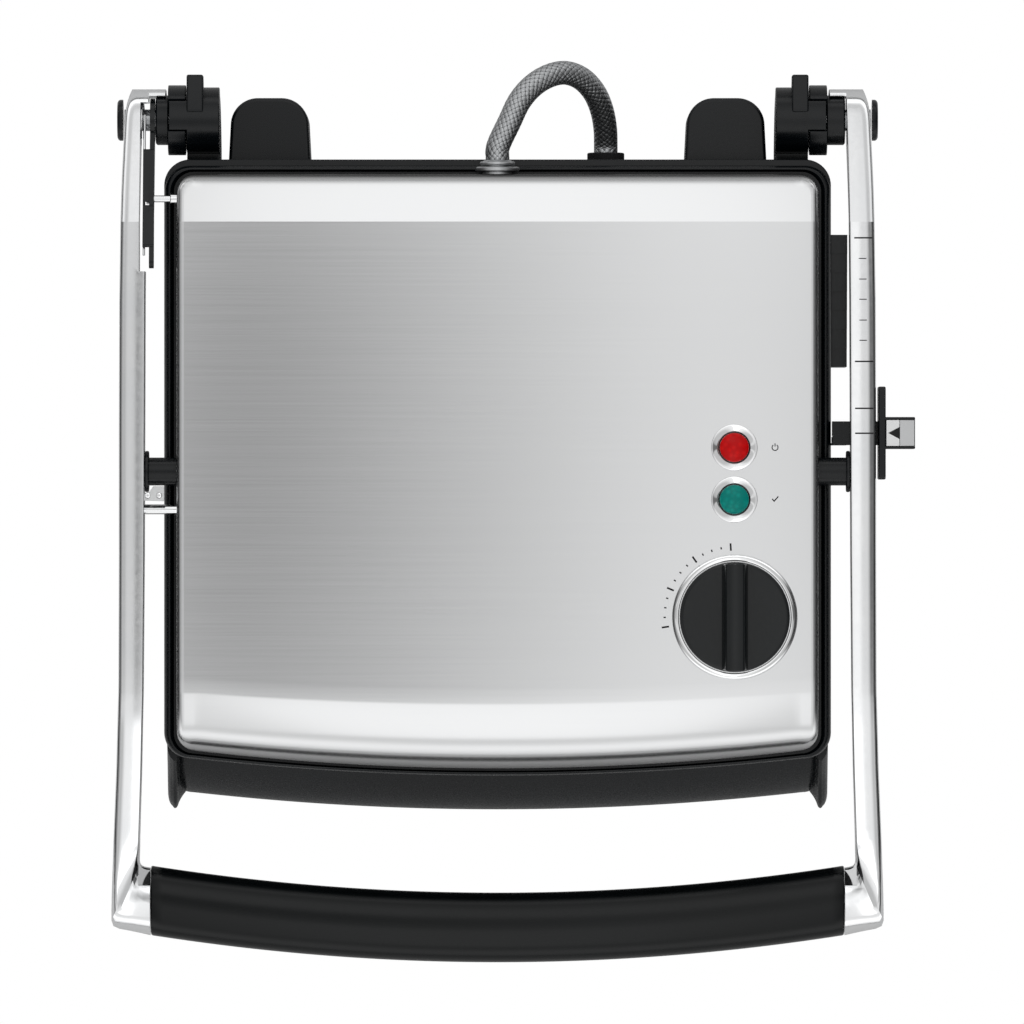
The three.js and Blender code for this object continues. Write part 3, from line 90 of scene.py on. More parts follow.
# The hinge frame of the CAD source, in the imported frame
cap_low, cap_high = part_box("hinge_cap_right")
left_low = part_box("hinge_cap_left")[0]
ORIGIN_X = (cap_high.x + left_low.x) / 2 / MM
ORIGIN_Y = (cap_high.y + cap_low.y) / 2 / MM


def point(x, y, z):
    return Vector(((x + ORIGIN_X) * MM, (y + ORIGIN_Y) * MM, z * MM))


def from_hinge(corners):
    """Corners of a CAD node in the hinge frame's millimetres."""
    return [(corner.x / MM - ORIGIN_X, corner.y / MM - ORIGIN_Y, corner.z / MM) for corner in corners]


# Nodes: each helper makes one and gives its output
def link(tree, output, target):
    tree.links.new(output, target)


def node(tree, kind, **values):
    made = tree.nodes.new(kind)
    for key, value in values.items():
        setattr(made, key, value)
    return made


def feed(tree, value, target):
    """A number or a colour is set on the socket, and an output is linked to it."""
    if isinstance(value, (int, float)):
        target.default_value = value
    elif isinstance(value, tuple):
        target.default_value = (*value, 1)
    else:
        link(tree, value, target)


def mapped(tree, scale=(1, 1, 1)):
    coords = node(tree, "ShaderNodeTexCoord")
    mapping = node(tree, "ShaderNodeMapping")
    mapping.inputs["Scale"].default_value = scale
    link(tree, coords.outputs["Object"], mapping.inputs["Vector"])
    return mapping.outputs["Vector"]


def axes(tree, source):
    """The X, Y and Z of a texture coordinate."""
    coords = node(tree, "ShaderNodeTexCoord")
    split = node(tree, "ShaderNodeSeparateXYZ")
    link(tree, coords.outputs[source], split.inputs["Vector"])
    return split.outputs


def noise(tree, vector, scale, detail):
    made = node(tree, "ShaderNodeTexNoise")
    made.inputs["Scale"].default_value = scale
    made.inputs["Detail"].default_value = detail
    link(tree, vector, made.inputs["Vector"])
    return made.outputs["Fac"]


def ranged(tree, value, low, high, from_low=0.3, from_high=0.7, kind="LINEAR"):
    made = node(tree, "ShaderNodeMapRange", interpolation_type=kind)
    limits = {"From Min": from_low, "From Max": from_high, "To Min": low, "To Max": high}
    for key, limit in limits.items():
        made.inputs[key].default_value = limit
    link(tree, value, made.inputs["Value"])
    return made.outputs["Result"]


def smooth_step(tree, value, start, end, low=0.0, high=1.0):
    return ranged(tree, value, low, high, start, end, "SMOOTHSTEP")


def worked(tree, operation, *values):
    """A Math node's result."""
    made = node(tree, "ShaderNodeMath", operation=operation)
    for value, target in zip(values, made.inputs):
        feed(tree, value, target)
    return made.outputs["Value"]


def mixed(tree, kind, factor, first, second):
    """A mix of two numbers (FLOAT) or two colours (RGBA)."""
    made = node(tree, "ShaderNodeMix", data_type=kind)
    for key, value in {"Factor": factor, "A": first, "B": second}.items():
        feed(tree, value, made.inputs[key])
    return made.outputs["Result"]


def bumped(tree, shader, height, strength, distance):
    made = node(tree, "ShaderNodeBump")
    made.inputs["Strength"].default_value = strength
    made.inputs["Distance"].default_value = distance
    link(tree, height, made.inputs["Height"])
    link(tree, made.outputs["Normal"], shader.inputs["Normal"])


# Materials
CLOUD_DETAIL = 2.0
FINE_DETAIL = 3.0
STREAK_DETAIL = 4.0
PLASTIC_CLOUDS = 14.0
PLASTIC_BUMP = 0.25
STEEL_CLOUDS = 9.0
STREAK_SHARE = 0.65
STREAK_SCALE = 1.0
STEEL_BUMP = 0.12
METAL_FINENESS = 12
METAL_BUMP = 0.1
LENS_CELLS = 420.0
LENS_SPREAD = 0.6
LENS_GLOW = 0.06
LENS_ROUGHNESS = 0.2
LENS_SPECULAR = 0.15
LENS_BUMP = (0.2, 0.00001)

# The brushed steel's rolled edge, where shade is painted: heights, places along Y, the dark colour painted
# there as shade, and how much rougher it is
STEEL_EDGE_SHADE = ((82.0, 98.0), (-31.0, -25.6), (0.05, 0.05, 0.05), 0.2)

# Braid: strands round the lead, wires in a strand, and the look of the weave
STRANDS = 12
WIRES = 3
WIRE_HEIGHT = 0.12
WEAVE_LEVEL = 0.16
WEAVE_DARK = (0.06, 0.062, 0.064)
WEAVE_LIGHT = (0.5, 0.51, 0.52)
WEAVE_GRAIN = 700.0
WEAVE_ROUGHNESS = (0.36, 0.46)
WEAVE_BUMP = (0.5, 0.0003)


def new_material(name):
    material = bpy.data.materials.new(name)
    material.use_nodes = True
    tree = material.node_tree
    return material, tree, tree.nodes["Principled BSDF"]


def plastic(name, dark, light, rough_low, rough_high, specular, grain=900.0, depth=0.000008):
    material, tree, shader = new_material(name)
    vector = mapped(tree)
    cloud = noise(tree, vector, PLASTIC_CLOUDS, CLOUD_DETAIL)
    fine = noise(tree, vector, grain, FINE_DETAIL)
    link(tree, mixed(tree, "RGBA", ranged(tree, cloud, 0, 1), dark, light), shader.inputs["Base Color"])
    link(tree, ranged(tree, fine, rough_low, rough_high), shader.inputs["Roughness"])
    shader.inputs["Specular IOR Level"].default_value = specular
    bumped(tree, shader, fine, PLASTIC_BUMP, depth)
    return material


def brushed(name, dark, light, stretch, rough_low, rough_high, anisotropy, depth, edge):
    """Streaks along X over slow clouds of tone, duller where the metal rolls over its edge, and painted darker
    there as shade.
    """
    material, tree, shader = new_material(name)
    streaks = noise(tree, mapped(tree, stretch), STREAK_SCALE, STREAK_DETAIL)
    clouds = noise(tree, mapped(tree), STEEL_CLOUDS, CLOUD_DETAIL)
    streak_tone = worked(tree, "MULTIPLY", streaks, STREAK_SHARE)
    tone = worked(tree, "MULTIPLY_ADD", clouds, 1 - STREAK_SHARE, streak_tone)
    edge_heights, edge_places, edge_shade_colour, edge_rough = edge
    # Painted shade: below the given heights and towards the rear edge the steel takes a dark colour, and it is
    # rougher there too
    place = axes(tree, "Object")
    lowered = smooth_step(tree, place["Z"], *(height * MM for height in edge_heights))
    inward = smooth_step(tree, place["Y"], *((ORIGIN_Y + reach) * MM for reach in edge_places), 1.0, 0.0)
    share = worked(tree, "MULTIPLY", lowered, inward)
    plain = mixed(tree, "RGBA", ranged(tree, tone, 0, 1), dark, light)
    link(tree, mixed(tree, "RGBA", share, edge_shade_colour, plain), shader.inputs["Base Color"])
    dull = ranged(tree, streaks, rough_low + edge_rough, rough_high + edge_rough)
    link(tree, worked(tree, "MULTIPLY_ADD", share, -edge_rough, dull), shader.inputs["Roughness"])
    shader.inputs["Metallic"].default_value = 1.0
    shader.inputs["Anisotropic"].default_value = anisotropy
    spread = node(tree, "ShaderNodeTangent", direction_type="RADIAL", axis="X")
    link(tree, spread.outputs["Tangent"], shader.inputs["Tangent"])
    bumped(tree, shader, streaks, STEEL_BUMP, depth)
    return material


def metal(name, dark, light, rough_low, rough_high, scale=35.0, depth=0.00002):
    material, tree, shader = new_material(name)
    vector = mapped(tree)
    cloud = noise(tree, vector, scale, CLOUD_DETAIL)
    fine = noise(tree, vector, scale * METAL_FINENESS, FINE_DETAIL)
    link(tree, mixed(tree, "RGBA", ranged(tree, cloud, 0, 1), dark, light), shader.inputs["Base Color"])
    link(tree, ranged(tree, fine, rough_low, rough_high), shader.inputs["Roughness"])
    shader.inputs["Metallic"].default_value = 1.0
    bumped(tree, shader, fine, METAL_BUMP, depth)
    return material


def lens_material(name, deep, bright):
    material, tree, shader = new_material(name)
    cells = node(tree, "ShaderNodeTexVoronoi")
    cells.inputs["Scale"].default_value = LENS_CELLS
    link(tree, mapped(tree), cells.inputs["Vector"])
    distance = cells.outputs["Distance"]
    colour = mixed(tree, "RGBA", ranged(tree, distance, 0, 1, 0, LENS_SPREAD), bright, deep)
    link(tree, colour, shader.inputs["Base Color"])
    link(tree, colour, shader.inputs["Emission Color"])
    shader.inputs["Emission Strength"].default_value = LENS_GLOW
    shader.inputs["Roughness"].default_value = LENS_ROUGHNESS
    shader.inputs["Specular IOR Level"].default_value = LENS_SPECULAR
    bumped(tree, shader, distance, *LENS_BUMP)
    return material


def braid_material(name):
    """Woven wire: bands of fine wires drawn along the tube's own length and turn, kept in its UV map."""
    material, tree, shader = new_material(name)
    place = axes(tree, "UV")
    bands = []
    for direction in (1.0, -1.0):
        wound = worked(tree, "MULTIPLY_ADD", place["X"], direction, place["Y"])
        strand = worked(tree, "SINE", worked(tree, "MULTIPLY", wound, math.pi * STRANDS))
        wires = worked(tree, "SINE", worked(tree, "MULTIPLY", wound, math.pi * STRANDS * WIRES))
        bands.append(worked(tree, "MULTIPLY_ADD", wires, WIRE_HEIGHT, worked(tree, "ABSOLUTE", strand)))
    level = worked(tree, "MULTIPLY", *bands)
    share = ranged(tree, level, 0, 1, 0, WEAVE_LEVEL)
    link(tree, mixed(tree, "RGBA", share, WEAVE_DARK, WEAVE_LIGHT), shader.inputs["Base Color"])
    fine = noise(tree, mapped(tree), WEAVE_GRAIN, CLOUD_DETAIL)
    link(tree, ranged(tree, fine, *WEAVE_ROUGHNESS), shader.inputs["Roughness"])
    shader.inputs["Metallic"].default_value = 1.0
    bumped(tree, shader, level, *WEAVE_BUMP)
    return material


BLACK = plastic("black_plastic", (0.001, 0.002, 0.003), (0.0025, 0.004, 0.0055), 0.24, 0.3, 0.32)
GLOSS_BLACK = plastic(
    "gloss_black", (0.002, 0.0035, 0.004), (0.004, 0.006, 0.007), 0.18, 0.26, 0.36, 700.0, 0.00001
)
SOFT_BLACK = plastic("grip_black", (0.001, 0.0018, 0.002), (0.002, 0.003, 0.0035), 0.2, 0.26, 0.25, 1100.0)
RUBBER = plastic("rubber", (0.008, 0.008, 0.009), (0.014, 0.014, 0.015), 0.7, 0.85, 0.3, 600.0, 0.00006)
PRINT = plastic("print_black", (0.01, 0.01, 0.011), (0.018, 0.018, 0.019), 0.5, 0.6, 0.2)
RESIN = plastic("pale_resin", (0.62, 0.58, 0.5), (0.72, 0.67, 0.58), 0.5, 0.65, 0.4, 500.0, 0.00005)
NONSTICK = plastic("cast_plate", (0.02, 0.02, 0.021), (0.035, 0.035, 0.037), 0.42, 0.6, 0.4, 1400.0, 0.0001)
BADGE = plastic("badge_white", (0.85, 0.86, 0.86), (0.93, 0.93, 0.93), 0.25, 0.35, 0.5)
STEEL = brushed(
    "brushed_steel", (0.65, 0.655, 0.66), (0.68, 0.685, 0.69), (9, 2200, 30), 0.16, 0.19, 0.4, 0.000003,
    STEEL_EDGE_SHADE,
)
ALLOY = metal("polished_alloy", (0.84, 0.85, 0.86), (0.88, 0.885, 0.89), 0.09, 0.15)
CHROME = metal("chrome", (0.88, 0.885, 0.89), (0.93, 0.935, 0.94), 0.05, 0.1)
PLAIN_STEEL = metal("plain_steel", (0.42, 0.43, 0.44), (0.55, 0.56, 0.57), 0.3, 0.45, 60.0, 0.00004)
SHEET = metal("shield_sheet", (0.55, 0.56, 0.57), (0.66, 0.67, 0.68), 0.3, 0.42, 25.0, 0.00003)
RED = lens_material("red_lens", (0.5, 0.001, 0.002), (0.66, 0.004, 0.004))
GREEN = lens_material("green_lens", (0.0, 0.2, 0.17), (0.002, 0.29, 0.24))
BRAID = braid_material("braid")

# Meshes
WELD = 0.002
SHADE_ANGLE = 35.0
BEVEL_STEPS = 3


def placed(name, data):
    made = bpy.data.objects.new(name, data)
    bpy.context.scene.collection.objects.link(made)
    return made


def smoothed(made, angle=SHADE_ANGLE):
    made.data.polygons.foreach_set("use_smooth", [True] * len(made.data.polygons))
    made.data.set_sharp_from_angle(angle=math.radians(angle))


def rounded(made, width, segments=BEVEL_STEPS, angle=SHADE_ANGLE):
    modifier = made.modifiers.new("edges", "BEVEL")
    modifier.width = width * MM
    modifier.segments = segments
    modifier.limit_method = "ANGLE"
    modifier.angle_limit = math.radians(angle)
    modifier.harden_normals = True
    modifier.use_clamp_overlap = True


def mesh(name, vertices, faces, body, material, smooth=SHADE_ANGLE, bevel=0, segments=BEVEL_STEPS, slot=None):
    """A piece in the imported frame, from vertices in the hinge frame's millimetres."""
    data = bpy.data.meshes.new(name)
    data.from_pydata([point(*v) for v in vertices], [], faces)
    data.validate()
    edit = bmesh.new()
    edit.from_mesh(data)
    bmesh.ops.remove_doubles(edit, verts=edit.verts, dist=WELD * MM)
    bmesh.ops.recalc_face_normals(edit, faces=edit.faces)
    edit.to_mesh(data)
    edit.free()
    made = placed(name, data)
    smoothed(made, smooth)
    data.materials.append(material)
    if bevel:
        rounded(made, bevel, segments)
    if body:
        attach(made, body)
    return made


def combined(made, operation, shapes):
    """Joins an object with shapes or cuts them out of it, for good."""
    material = made.data.materials[0]
    others = [mesh(f"other{number}", *shape, None, material) for number, shape in enumerate(shapes)]
    for other in others:
        modifier = made.modifiers.new("with", "BOOLEAN")
        modifier.operation = operation
        modifier.solver = "EXACT"
        modifier.object = other
    bpy.context.view_layer.update()
    graph = bpy.context.evaluated_depsgraph_get()
    data = bpy.data.meshes.new_from_object(made.evaluated_get(graph))
    made.modifiers.clear()
    made.data = data
    for other in others:
        bpy.data.objects.remove(other)


def mirrored_name(name, right):
    return name + ("_right" if right else "_left")


def flipped(shape):
    """The same shape on the other side of the middle plane."""
    vertices, faces = shape
    return [(-x, y, z) for x, y, z in vertices], [list(face)[::-1] for face in faces]


def sided(shape, right):
    return shape if right else flipped(shape)


def circle(a, b, radius, count=64, start=0.0, end=360.0):
    steps = count if end - start >= 360.0 else count + 1
    turns = [math.radians(start + (end - start) * i / count) for i in range(steps)]
    return [(a + radius * math.cos(turn), b + radius * math.sin(turn)) for turn in turns]


def rounded_rect(a0, a1, b0, b1, corner, steps):
    left, right, low, high = a0 + corner, a1 - corner, b0 + corner, b1 - corner
    points = []
    for quarter, centre in enumerate(((right, high), (left, high), (left, low), (right, low))):
        points += circle(*centre, corner, steps, 90 * quarter, 90 * quarter + 90)
    return points


def stadium(a0, b0, a1, b1, radius, steps=16):
    """Two half circles round a line's ends."""
    heading = math.degrees(math.atan2(b1 - b0, a1 - a0))
    far = circle(a1, b1, radius, steps, heading - 90, heading + 90)
    return far + circle(a0, b0, radius, steps, heading + 90, heading + 270)


def bent(start, control, end, steps):
    """A quadratic curve's points, without its start."""
    points = []
    for i in range(1, steps + 1):
        t = i / steps
        parts = zip(start, control, end)
        points.append(tuple((1 - t) ** 2 * p + 2 * t * (1 - t) * q + t * t * r for p, q, r in parts))
    return points


def lofted(rings, closed=False):
    """Faces through rings of points, capped at both ends, or with the last ring joined to the first."""
    count = len(rings[0])
    last = len(rings) - 1
    faces = []
    for k in range(last + 1 if closed else last):
        near = k * count
        far = (k + 1) % len(rings) * count
        faces += [[near + i, near + (i + 1) % count, far + (i + 1) % count, far + i] for i in range(count)]
    if not closed:
        faces += [list(range(count))[::-1], [last * count + i for i in range(count)]]
    return [vertex for ring in rings for vertex in ring], faces


def up(outline, low, high):
    return lofted([[(a, b, level) for a, b in outline] for level in (low, high)])


def across(outline, low, high):
    return lofted([[(level, a, b) for a, b in outline] for level in (low, high)])


def back(outline, low, high):
    return lofted([[(a, level, b) for a, b in outline] for level in (low, high)])


def box(x0, x1, y0, y1, z0, z1):
    return up([(x0, y0), (x1, y0), (x1, y1), (x0, y1)], z0, z1)


def raised(profile, height):
    """A profile's points (radius, along), moved along."""
    return [(radius, height + along) for radius, along in profile]


def turned(profile, place, count=96):
    """A closed or pole-ended profile of (radius, along), turned about an axis."""
    vertices, rings = [], []
    for radius, along in profile:
        turns = [2 * math.pi * i / count for i in range(count if radius else 1)]
        rings.append([len(vertices) + i for i in range(len(turns))])
        vertices += [place(radius * math.cos(turn), radius * math.sin(turn), along) for turn in turns]
    faces = []
    pairs = list(zip(rings, rings[1:]))
    if len(rings[0]) > 1:
        pairs.append((rings[-1], rings[0]))
    for first, second in pairs:
        for i in range(count):
            j = (i + 1) % count
            if len(first) == 1:
                faces.append([first[0], second[i], second[j]])
            elif len(second) == 1:
                faces.append([first[i], second[0], first[j]])
            else:
                faces.append([first[i], second[i], second[j], first[j]])
    return vertices, faces


def about_z(x, y):
    return lambda a, b, c: (x + a, y + b, c)


def about_x(y, z):
    return lambda a, b, c: (c, y + a, z + b)


def about_y(x, z):
    return lambda a, b, c: (x + a, c, z + b)


def added(*shapes):
    vertices, faces = [], []
    for shape_vertices, shape_faces in shapes:
        start = len(vertices)
        vertices += list(shape_vertices)
        faces += [[start + i for i in face] for face in shape_faces]
    return vertices, faces


def panel_ring(inset, corner, extra_front=0.0, rear=REAR_REACH, front=FRONT_REACH):
    """The housings' plan as a ring with the same number of points for every inset."""
    back_edge = -rear - inset
    front_edge = -front + inset - extra_front
    span = HALF_WIDTH - inset - corner
    front_corner = front_edge + FRONT_BOW + corner
    points = circle(span, back_edge - corner, corner, RING_CORNER_STEPS, 90, 0)
    points += circle(span, front_corner, corner, RING_CORNER_STEPS, 0, -90)
    for i in range(1, RING_BOW_STEPS):
        share = 1 - 2 * i / RING_BOW_STEPS
        points.append((share * span, front_edge + FRONT_BOW * share * share))
    points += circle(-span, front_corner, corner, RING_CORNER_STEPS, -90, -180)
    points += circle(-span, back_edge - corner, corner, RING_CORNER_STEPS, 180, 90)
    return points


def ringed(layers):
    """A closed band through rings (points, height), the last joined to the first."""
    return lofted([[(x, y, height) for x, y in ring] for ring, height in layers], closed=True)


# Lid cover: a grid whose edge follows the plan, with creases at both ends of the flat top
COVER_HALF = 147.5
COVER_REAR = 25.8
COVER_FRONT = 299.4
COVER_CORNER = 9.0
COVER_INNER = COVER_HALF - COVER_CORNER
CREASE_REAR = 47.8
CREASE_FRONT = 269.0
CREASE_BOW = 5.0
CREASE_ANGLE = 9.0
REAR_DROP = 5.0
REAR_CURVE = 0.2
NOSE_DROP = 21.0
NOSE_START_DROP = 3.2
NOSE_CONTROL = 25.5
SIDE_ROUND = 3.0
REAR_ROUND = 4.8
SHEET_THICKNESS = 1.2
GRID_INSETS = [0, 0.08, 0.25, 0.5, 0.85, 1.3, 1.8, 2.4, 3.0, 3.6, 4.4, 5.4, 6.6, 7.8, 9.0, 12, 16, 22]
GRID_COLUMNS = 44
GRID_ROWS = 30
REAR_SHARES = [0, 0.01, 0.03, 0.06, 0.1, 0.14, 0.2, 0.28, 0.4, 0.55, 0.7, 0.85, 1.0]
NOSE_SHARES = [
    0, 0.04, 0.1, 0.18, 0.27, 0.36, 0.45, 0.54, 0.63, 0.71, 0.78, 0.84, 0.89, 0.93, 0.96, 0.98, 0.993, 1.0,
]


def bow_at(x):
    """How far along the front's bow a place at x is: 0 in the middle, 1 at the corners."""
    return min(abs(x) / COVER_INNER, 1.0) ** 2


def crease_at(x):
    return -CREASE_FRONT + CREASE_BOW * bow_at(x)


def cover_edge(x):
    """Rear and front edge of the cover at x."""
    over = max(abs(x) - COVER_INNER, 0)
    drawn_in = COVER_CORNER - math.sqrt(max(COVER_CORNER**2 - over**2, 0))
    return -COVER_REAR - drawn_in, -COVER_FRONT + FRONT_BOW * bow_at(x) + drawn_in


def cover_height(x, y):
    crease = crease_at(x)
    if y > -CREASE_REAR:
        t = (y + CREASE_REAR) / (CREASE_REAR - COVER_REAR)
        return COVER_TOP - REAR_DROP * t * (1 - REAR_CURVE + REAR_CURVE * t)
    if y > crease:
        return COVER_TOP
    run = crease + COVER_FRONT - FRONT_BOW * bow_at(x)
    forward = min((crease - y) / run, 1.0)
    b = 2.0 * NOSE_CONTROL / run
    a = 1.0 - b
    t = (math.sqrt(b * b + 4 * a * forward) - b) / (2 * a)
    return COVER_TOP - (2 * t * (1 - t) * NOSE_START_DROP + t * t * NOSE_DROP)


def edge_round(x, y, rear):
    """How far the rounding along the outline lowers the surface."""
    corner_rear = -COVER_REAR - COVER_CORNER
    corner_front = -COVER_FRONT + FRONT_BOW + COVER_CORNER
    distance = min(COVER_HALF - abs(x), (rear - y) * SIDE_ROUND / REAR_ROUND)
    if abs(x) > COVER_INNER and y > corner_rear:
        distance = COVER_CORNER - math.hypot(abs(x) - COVER_INNER, y - corner_rear)
    elif abs(x) > COVER_INNER and y < corner_front:
        distance = COVER_CORNER - math.hypot(abs(x) - COVER_INNER, y - corner_front)
    reach = SIDE_ROUND - min(max(distance, 0), SIDE_ROUND)
    return SIDE_ROUND - math.sqrt(SIDE_ROUND**2 - reach**2)


def cover_column(x):
    rear, front = cover_edge(x)
    crease = crease_at(x)
    rows = [rear + (-CREASE_REAR - rear) * share for share in REAR_SHARES]
    rows += [-CREASE_REAR + (crease + CREASE_REAR) * i / GRID_ROWS for i in range(1, GRID_ROWS)]
    rows += [crease + (front - crease) * share for share in NOSE_SHARES]
    return [(x, y, cover_height(x, y) - edge_round(x, y, rear)) for y in rows]


def cover_shape():
    inner = COVER_HALF - GRID_INSETS[-1]
    places = [-COVER_HALF + inset for inset in GRID_INSETS]
    places += [-inner + 2 * inner * i / GRID_COLUMNS for i in range(1, GRID_COLUMNS)]
    places += [COVER_HALF - inset for inset in reversed(GRID_INSETS)]
    columns = [cover_column(x) for x in places]
    vertices = [vertex for column in columns for vertex in column]
    count = len(columns[0])
    last = len(columns) - 1
    faces = []
    for i in range(last):
        for a in range(i * count, i * count + count - 1):
            faces.append([a, a + 1, a + count + 1, a + count])
    loop = [i * count for i in range(last + 1)]
    loop += [last * count + j for j in range(1, count)]
    loop += [i * count + count - 1 for i in reversed(range(last))]
    loop += list(reversed(range(1, count - 1)))
    start = len(vertices)
    vertices += [(vertices[i][0], vertices[i][1], COVER_BOTTOM) for i in loop]
    for k, a in enumerate(loop):
        after = (k + 1) % len(loop)
        faces.append([a, loop[after], start + after, start + k])
    return vertices, faces


cover = mesh("steel_cover", *cover_shape(), None, STEEL, smooth=CREASE_ANGLE)
edit = bmesh.new()
edit.from_mesh(cover.data)
if max(edit.faces, key=lambda face: face.calc_center_median().z).normal.z < 0:
    bmesh.ops.reverse_faces(edit, faces=edit.faces)
edit.to_mesh(cover.data)
edit.free()
solid = cover.modifiers.new("wall", "SOLIDIFY")
solid.thickness = SHEET_THICKNESS * MM
solid.offset = -1
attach(cover, "lid")
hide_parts("lid_cover")

# Lid rim: outer wall, rounded bead, groove and the web under the cover; inset, height and share of the bead
RIM_LAYERS = [
    (0.9, RIM_BOTTOM, 0), (0.35, RIM_BOTTOM + 0.2, 0), (0.0, RIM_BOTTOM + 0.8, 0), (0.0, RIM_TOP - 2.8, 0),
    (0.03, RIM_TOP - 2.3, 0), (0.06, RIM_TOP - 2.0, 0.1), (0.09, RIM_TOP - 1.9, 1), (0.15, RIM_TOP - 0.8, 1),
    (0.5, RIM_TOP + 0.4, 1), (1.0, RIM_TOP + 1.35, 1), (1.6, RIM_TOP + 2.0, 1), (2.3, RIM_TOP + 2.35, 1),
    (2.9, RIM_TOP + 2.4, 1), (3.5, RIM_TOP + 2.1, 1), (4.1, RIM_TOP + 1.3, 1), (4.5, RIM_TOP + 0.3, 1),
    (4.6, RIM_TOP, 1), (17.0, RIM_TOP, 0), (17.0, RIM_TOP - 3.0, 0), (10.6, RIM_TOP - 3.0, 0),
    (10.6, RIM_BOTTOM, 0),
]
RIM_CORNER_SHRINK = 0.6
RIM_CORNER_LEAST = 3.0
REAR_LEDGE = 2.8
REAR_SHRINK = 0.35
FRONT_SHRINK = 0.5


def rim_ring(inset, bead):
    """One ring of the rim, whose bead is narrower in front and behind than at the sides."""
    corner = max(CORNER - RIM_CORNER_SHRINK * inset, RIM_CORNER_LEAST)
    rear = REAR_REACH + bead * (REAR_LEDGE - REAR_SHRINK * inset)
    return panel_ring(inset, corner, rear=rear, front=FRONT_REACH + bead * FRONT_SHRINK * inset)


rim_shape = ringed([(rim_ring(inset, bead), height) for inset, height, bead in RIM_LAYERS])
rim = mesh("rim_frame", *rim_shape, "lid", BLACK, slot="black_plastic")
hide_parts("lid_rim")

# Base: walls with an apron in front, and a deck round the plate; inset, height and the apron's reach
APRON = 18.0
BASE_INSET = 1.0
BASE_WALL = 3.0
BASE_CORNER = CORNER - 1.0
DECK_WIDTH = 12.0
DECK_CORNER = 6.0
BASE_OUTSIDE = [
    (1.2, FOOT_HEIGHT, APRON - 3.6), (0.4, FOOT_HEIGHT + 0.3, APRON - 2.4),
    (0.0, FOOT_HEIGHT + 1.4, APRON - 0.8), (0.0, FOOT_HEIGHT + 3.0, APRON),
    (0.0, FOOT_HEIGHT + 9.0, APRON), (0.0, FOOT_HEIGHT + 13.0, APRON - 0.3),
    (0.0, FOOT_HEIGHT + 17.0, APRON - 1.2), (0.0, FOOT_HEIGHT + 21.0, APRON - 2.6),
    (0.0, FOOT_HEIGHT + 25.0, APRON - 4.3), (0.0, FOOT_HEIGHT + 29.0, APRON - 6.3),
    (0.0, FOOT_HEIGHT + 33.0, APRON - 8.6), (0.0, FOOT_HEIGHT + 37.0, APRON - 11.2),
    (0.0, FOOT_HEIGHT + 41.0, APRON - 14.2), (0.0, FOOT_HEIGHT + 45.0, APRON - 17.5),
    (0.0, BASE_TOP - 1.4, 0.2), (0.4, BASE_TOP - 0.4, 0.0), (1.2, BASE_TOP, 0.0),
]
BASE_INSIDE = [
    (BASE_WALL, BASE_TOP - BASE_WALL, 0), (BASE_WALL, FOOT_HEIGHT + 42.0, 0),
    (BASE_WALL, FOOT_HEIGHT + 24.0, APRON - 7.0), (BASE_WALL, FOOT_HEIGHT + 11.0, APRON - 3.0),
    (BASE_WALL, FOOT_HEIGHT, APRON - 3.0),
]
SLOT_GAP = 0.3
ENTRY_X = -50.0
ENTRY_HEIGHT = 44.7
ENTRY_HOLE = 9.3
WALL_CUT = (-REAR_REACH - 8.0, -REAR_REACH + 8.0)


def base_rings(layers):
    return [(panel_ring(BASE_INSET + inset, BASE_CORNER, extra), height) for inset, height, extra in layers]


deck_edge = panel_ring(BASE_INSET + DECK_WIDTH, DECK_CORNER)
deck_rings = [(deck_edge, BASE_TOP), (deck_edge, BASE_TOP - BASE_WALL)]
base_shape = ringed(base_rings(BASE_OUTSIDE) + deck_rings + base_rings(BASE_INSIDE))
base = mesh("base_housing", *base_shape, None, BLACK)
tray_low, tray_high = from_hinge(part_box("drip_tray"))
slot_sides = (tray_low[0] - SLOT_GAP, tray_high[0] + SLOT_GAP)
tray_slot = box(*slot_sides, *WALL_CUT, tray_low[2] - SLOT_GAP, tray_high[2] + SLOT_GAP)
combined(base, "DIFFERENCE", [tray_slot, back(circle(ENTRY_X, ENTRY_HEIGHT, ENTRY_HOLE), *WALL_CUT)])
smoothed(base)
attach(base, "base")
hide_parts("base_shell")

# Cheeks beside the apron: height, and how far the front edge is drawn in there
CHEEK_WIDTH = 5.5
CHEEK_SPREAD = 0.9
CHEEK_REAR = -FRONT_REACH + 24.0
CHEEK_TIP = -FRONT_REACH - 16.4
CHEEK_NOSE = 2.4
NOSE_SHARE = 0.6
NOSE_CROWN = 1.1
NOSE_BENDS = (8.0, 2.6, 4.6, 5.0)
NOSE_SLANT = 0.1
CHEEK_FILLET = 2.4
FILLET_LEAST = 0.3
FILLET_END = 6.0
CHEEK_SHADE = 50.0
CHEEK_LAYERS = [
    (FOOT_HEIGHT, 3.0), (FOOT_HEIGHT + 0.9, 0.9), (FOOT_HEIGHT + 3.0, 0.0), (FOOT_HEIGHT + 12.0, 0.0),
    (FOOT_HEIGHT + 18.0, 0.3), (FOOT_HEIGHT + 23.0, 2.6), (FOOT_HEIGHT + 28.0, 6.0),
    (FOOT_HEIGHT + 34.0, 10.6), (FOOT_HEIGHT + 40.0, 14.6), (FOOT_HEIGHT + 48.0, 19.0),
    (BASE_TOP - 1.0, 23.0),
]


